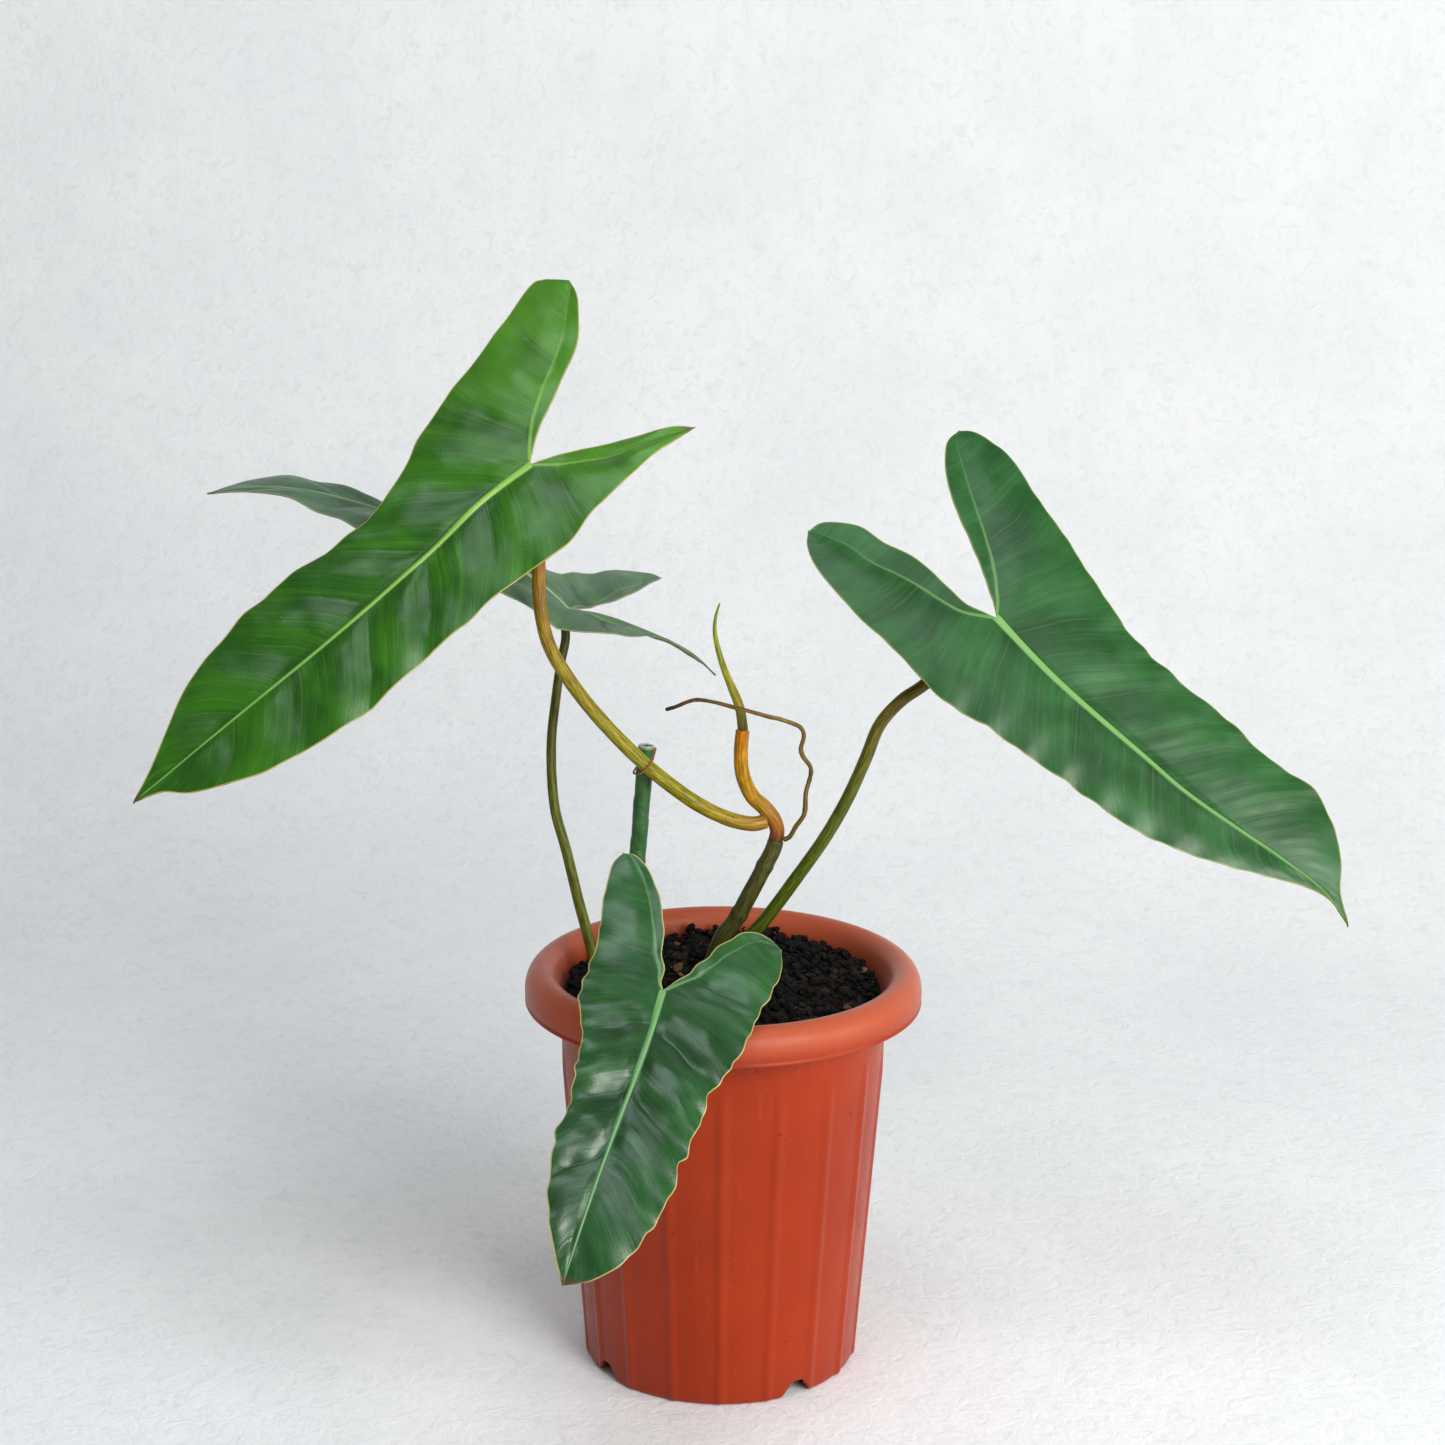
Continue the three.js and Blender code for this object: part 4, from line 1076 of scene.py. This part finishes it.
# Wire stake wound with green floral tape: waxy, faintly creased across, with a lapped edge at each turn.
def tapeMaterial():
    material, add, place, lap, boreShade, raggedRim = newMaterial(
        "greenStakeTape", {"IOR": 1.5, "Specular IOR Level": 0.5}, tapeMarks)
    patches = add("TexNoise", Vector=place, Scale=1 / (6 * mm), Detail=3)
    pressed = add("Mapping", Vector=place, Scale=(1.0, 1.0, 6.0))
    creases = add("TexNoise", Vector=pressed, Scale=1 / (4 * mm), Detail=3, Roughness=0.6)
    colour = addCoats(
        add, "#173a14",
        ((patches, 0.3, 0.7), "#2a6024"),
        ((creases, 0.55, 0.75, 0.4), "#4c8a50"),
        # painted shade: a dark band in the recess beside each lapped edge
        ((lap, 0.12, 0.0, 0.6), "#0e2a15"),
        (boreShade, "#0b0b0a"),
        (raggedRim, "#a9a89a"))
    return dressSurface(material, add, colour, (patches, 0.3, 0.7, 0.3, 0.5), (creases, 0.6, 0.2))


def makeStake():
    foot, head = Vector(stake["foot"]), Vector(stake["head"])
    length = (head - foot).length
    bm = newMesh(tapeMarks)
    outer = [(stake["radius"], 1 + k * 0.8) for k in range(int((length - 2) / 0.8))]
    section = [(stake["bore"], length - 12), (stake["bore"], 0), (stake["radius"] - 0.5, 0)] + outer
    section += [(stake["radius"], length - 0.6), (stake["radius"] - 0.5, length)]
    section += [(stake["bore"] + 0.3, length), (stake["bore"], length - 1), (stake["bore"], length - 12)]
    spinSection(bm, section, 48)
    wrap, bore, ragged = (bm.verts.layers.float[label] for label in tapeMarks)
    turn = Vector((0, 0, 1)).rotation_difference(head - foot).to_matrix()
    for vert in bm.verts:
        x, y, z = vert.co / mm
        angle, radius = atan2(y, x), hypot(x, y)
        if radius > stake["radius"] - 0.6:
            turns = (z / stake["wrapPitch"] + angle / (2 * pi)) % 1
            crease = 0.1 * noiseAt(cos(angle) * 1.2, sin(angle) * 1.2, z / 3)
            radius -= stake["wrapStep"] * (1 - turns) - crease * (radius > stake["radius"] - 0.1)
            vert[wrap] = turns
            vert[ragged] = 0.7 * ease(z, length - 1.6, length)
        else:
            vert[wrap] = 0.5
            vert[bore] = 1
        if z > length - 0.5:
            z += 0.55 * noiseAt(cos(angle) * 2, sin(angle) * 2, 3) - 0.25
            vert[bore] = 0
            vert[ragged] = 0.9
        at = Vector((radius * cos(angle), radius * sin(angle), z))
        vert.co = (foot + turn @ at) * mm
    makePiece("wrapped_stake", bm, [tapeMaterial()], "support_stake")


makeStake()

tie = {
    "strand": 0.22, "lay": 0.2, "slack": 0.35, "height": 247.5, "twists": 22, "stalkRadius": 3.0,
    "corners": 14, "rings": 420, "sides": 8,
}


# Two thin strands twisted together, looped round the stake and the left stalk.
def makeTie():
    stalkAt = measuredLine(stalks["left"]["line"])[0]
    share = next(k / 400 for k in range(400) if stalkAt(k / 400).z > tie["height"])
    centre = stalkAt(share)
    normal = (stalkAt(share + 0.005) - stalkAt(share - 0.005)).normalized()
    foot = Vector(stake["foot"])
    direction = (Vector(stake["head"]) - foot).normalized()
    post = foot + direction * ((centre - foot).dot(normal) / direction.dot(normal))
    back = (post - centre).normalized()
    aside = normal.cross(back)
    clear = tie["slack"] + tie["strand"] + tie["lay"]
    points = []
    for k in range(tie["corners"] + 1):
        angle = 2 * pi * (k + 0.5) / tie["corners"]
        toPost = cos(angle)
        hub = post if toPost > 0 else centre
        deep = (stake["radius"] if toPost > 0 else tie["stalkRadius"]) + clear
        wide = deep * (1 / abs(direction.dot(normal)) if toPost > 0 else 1.05)
        points.append(hub + back * deep * toPost + aside * wide * sin(angle))
    frames = lineFrames(points, tie["rings"])[0]
    bm = newMesh(tubeMarks)
    for strand in (0, pi):
        def place(i, j):
            middle, across, up = frames[i % tie["rings"]]
            twist = 2 * pi * tie["twists"] * i / tie["rings"] + strand
            angle = 2 * pi * j / tie["sides"]
            x = tie["lay"] * cos(twist) + tie["strand"] * cos(angle)
            y = tie["lay"] * sin(twist) + tie["strand"] * sin(angle)
            return middle + across * x + up * y, dict(zip(tubeMarks, (x, y, i * 0.1, i / tie["rings"])))
        bendGrid(bm, tie["rings"], tie["sides"], place)
    material = stalkMaterial("twistedTieCord", ["#a8642a", "#c07a38", "#b36c2e", "#a8642a"], roughness=0.65,
                             specks="#e0d2b8")
    makePiece("tie_cord", bm, [material], "stalk_tie")


makeTie()
print("stake and tie done")

# Studio

studio = {
    "floorReach": 3.0, "widen": 1.6, "bendStart": 0.4, "bendRadius": 0.6,
    "worldStrength": 0.24, "worldColour": "#f8f9fa",
}


# Rough-rolled white wall paint: faint mottling, with a soft relief of 4 to 8 mm
def sweepMaterial():
    material, add, place = newMaterial("mattWhiteSweep", {"Specular IOR Level": 0.2})
    mottle = add("TexNoise", Vector=place, Scale=1 / (120 * mm), Detail=4, Roughness=0.6)
    drawn = add("Mapping", Vector=place, Scale=(1.0, 1.0, 0.2))
    streaks = add("TexNoise", Vector=drawn, Scale=1 / (14 * mm), Detail=3, Roughness=0.6)
    relief = add("TexNoise", Vector=place, Scale=1 / (8 * mm), Detail=3, Roughness=0.6, Distortion=1.2)
    colour = addCoats(
        add, "#edefef",
        ((mottle, 0.3, 0.7), "#f3f4f4"),
        ((streaks, 0.45, 0.75, 0.5), "#e9ebeb"),
        # painted shade: the low places of the relief are a little darker
        ((relief, 0.5, 0.3, 0.6), "#e4e6e6"))
    return dressSurface(material, add, colour, (mottle, 0, 1, 0.75, 0.95), (relief, 0.5, 1.2))


def makeSweep():
    bm = bmesh.new()
    radius = studio["bendRadius"]
    for vert in bmesh.ops.create_grid(bm, x_segments=24, y_segments=96, size=studio["floorReach"])["verts"]:
        vert.co.x *= studio["widen"]
        past = vert.co.y - studio["bendStart"]
        if past > 0:
            angle = min(past / radius, pi / 2)
            straight = past - angle * radius
            vert.co.y = studio["bendStart"] + radius * sin(angle)
            vert.co.z = radius * (1 - cos(angle)) + straight
    sweep = addObject("sweep", bm, [sweepMaterial()])
    sweep.data.shade_smooth()


makeSweep()

# Large soft boxes: where each stands, what it looks at, its side in metres, its power in watts and its tint
softBoxes = {
    "keyFront": ((1.0, -1.5, 0.92), (0, 0, 0.2), 0.9, 32, "#fefcfa"),
    "topFront": ((-0.08, -0.47, 1.5), (0, -0.05, 0.25), 0.8, 6.5, "#eef5ff"),
    "frontFill": ((0.32, -1.35, 1.2), (0, 0, 0.25), 0.5, 1.6, "#f4f8ff"),
    "sideRight": ((1.2, -0.4, 0.42), (0, 0, 0.1), 0.6, 5, "#fdfdfd"),
}
for lampName, (at, aim, size, power, tint) in softBoxes.items():
    lamp = bpy.data.lights.new(lampName, "AREA")
    lamp.shape = "SQUARE"
    lamp.size = size
    lamp.energy = power
    lamp.color = linear(tint)[:3]
    light = addToScene(lampName, lamp)
    light.location = at
    light.rotation_euler = (Vector(aim) - Vector(at)).to_track_quat("-Z", "Y").to_euler()

world = bpy.data.worlds.new("paleRoom")
bpy.context.scene.world = world
world.use_nodes = True
backdrop = world.node_tree.nodes["Background"]
backdrop.inputs["Color"].default_value = linear(studio["worldColour"])
backdrop.inputs["Strength"].default_value = studio["worldStrength"]
bpy.context.scene.view_settings.view_transform = "Standard"

# The photograph's camera, found from the pot's ellipses
camera = {"at": (-1.21, -1145, 568), "lens": 74.74, "sensor": 36, "down": 14.69, "roll": 0.47}
roll, down = radians(camera["roll"]), radians(camera["down"])
right = Vector((cos(roll), sin(roll) * sin(down), sin(roll) * cos(down)))
upward = Vector((-sin(roll), cos(roll) * sin(down), cos(roll) * cos(down)))
backward = Vector((0, -cos(down), sin(down)))
lens = bpy.data.cameras.new("photoCamera")
lens.lens = camera["lens"]
lens.sensor_width = camera["sensor"]
lens.clip_start = 0.05
photoCamera = addToScene("photoCamera", lens)
photoCamera.matrix_world = Matrix.Translation(Vector(camera["at"]) * mm) @ Matrix(
    (right, upward, backward)).transposed().to_4x4()
bpy.context.scene.camera = photoCamera
print("studio done")
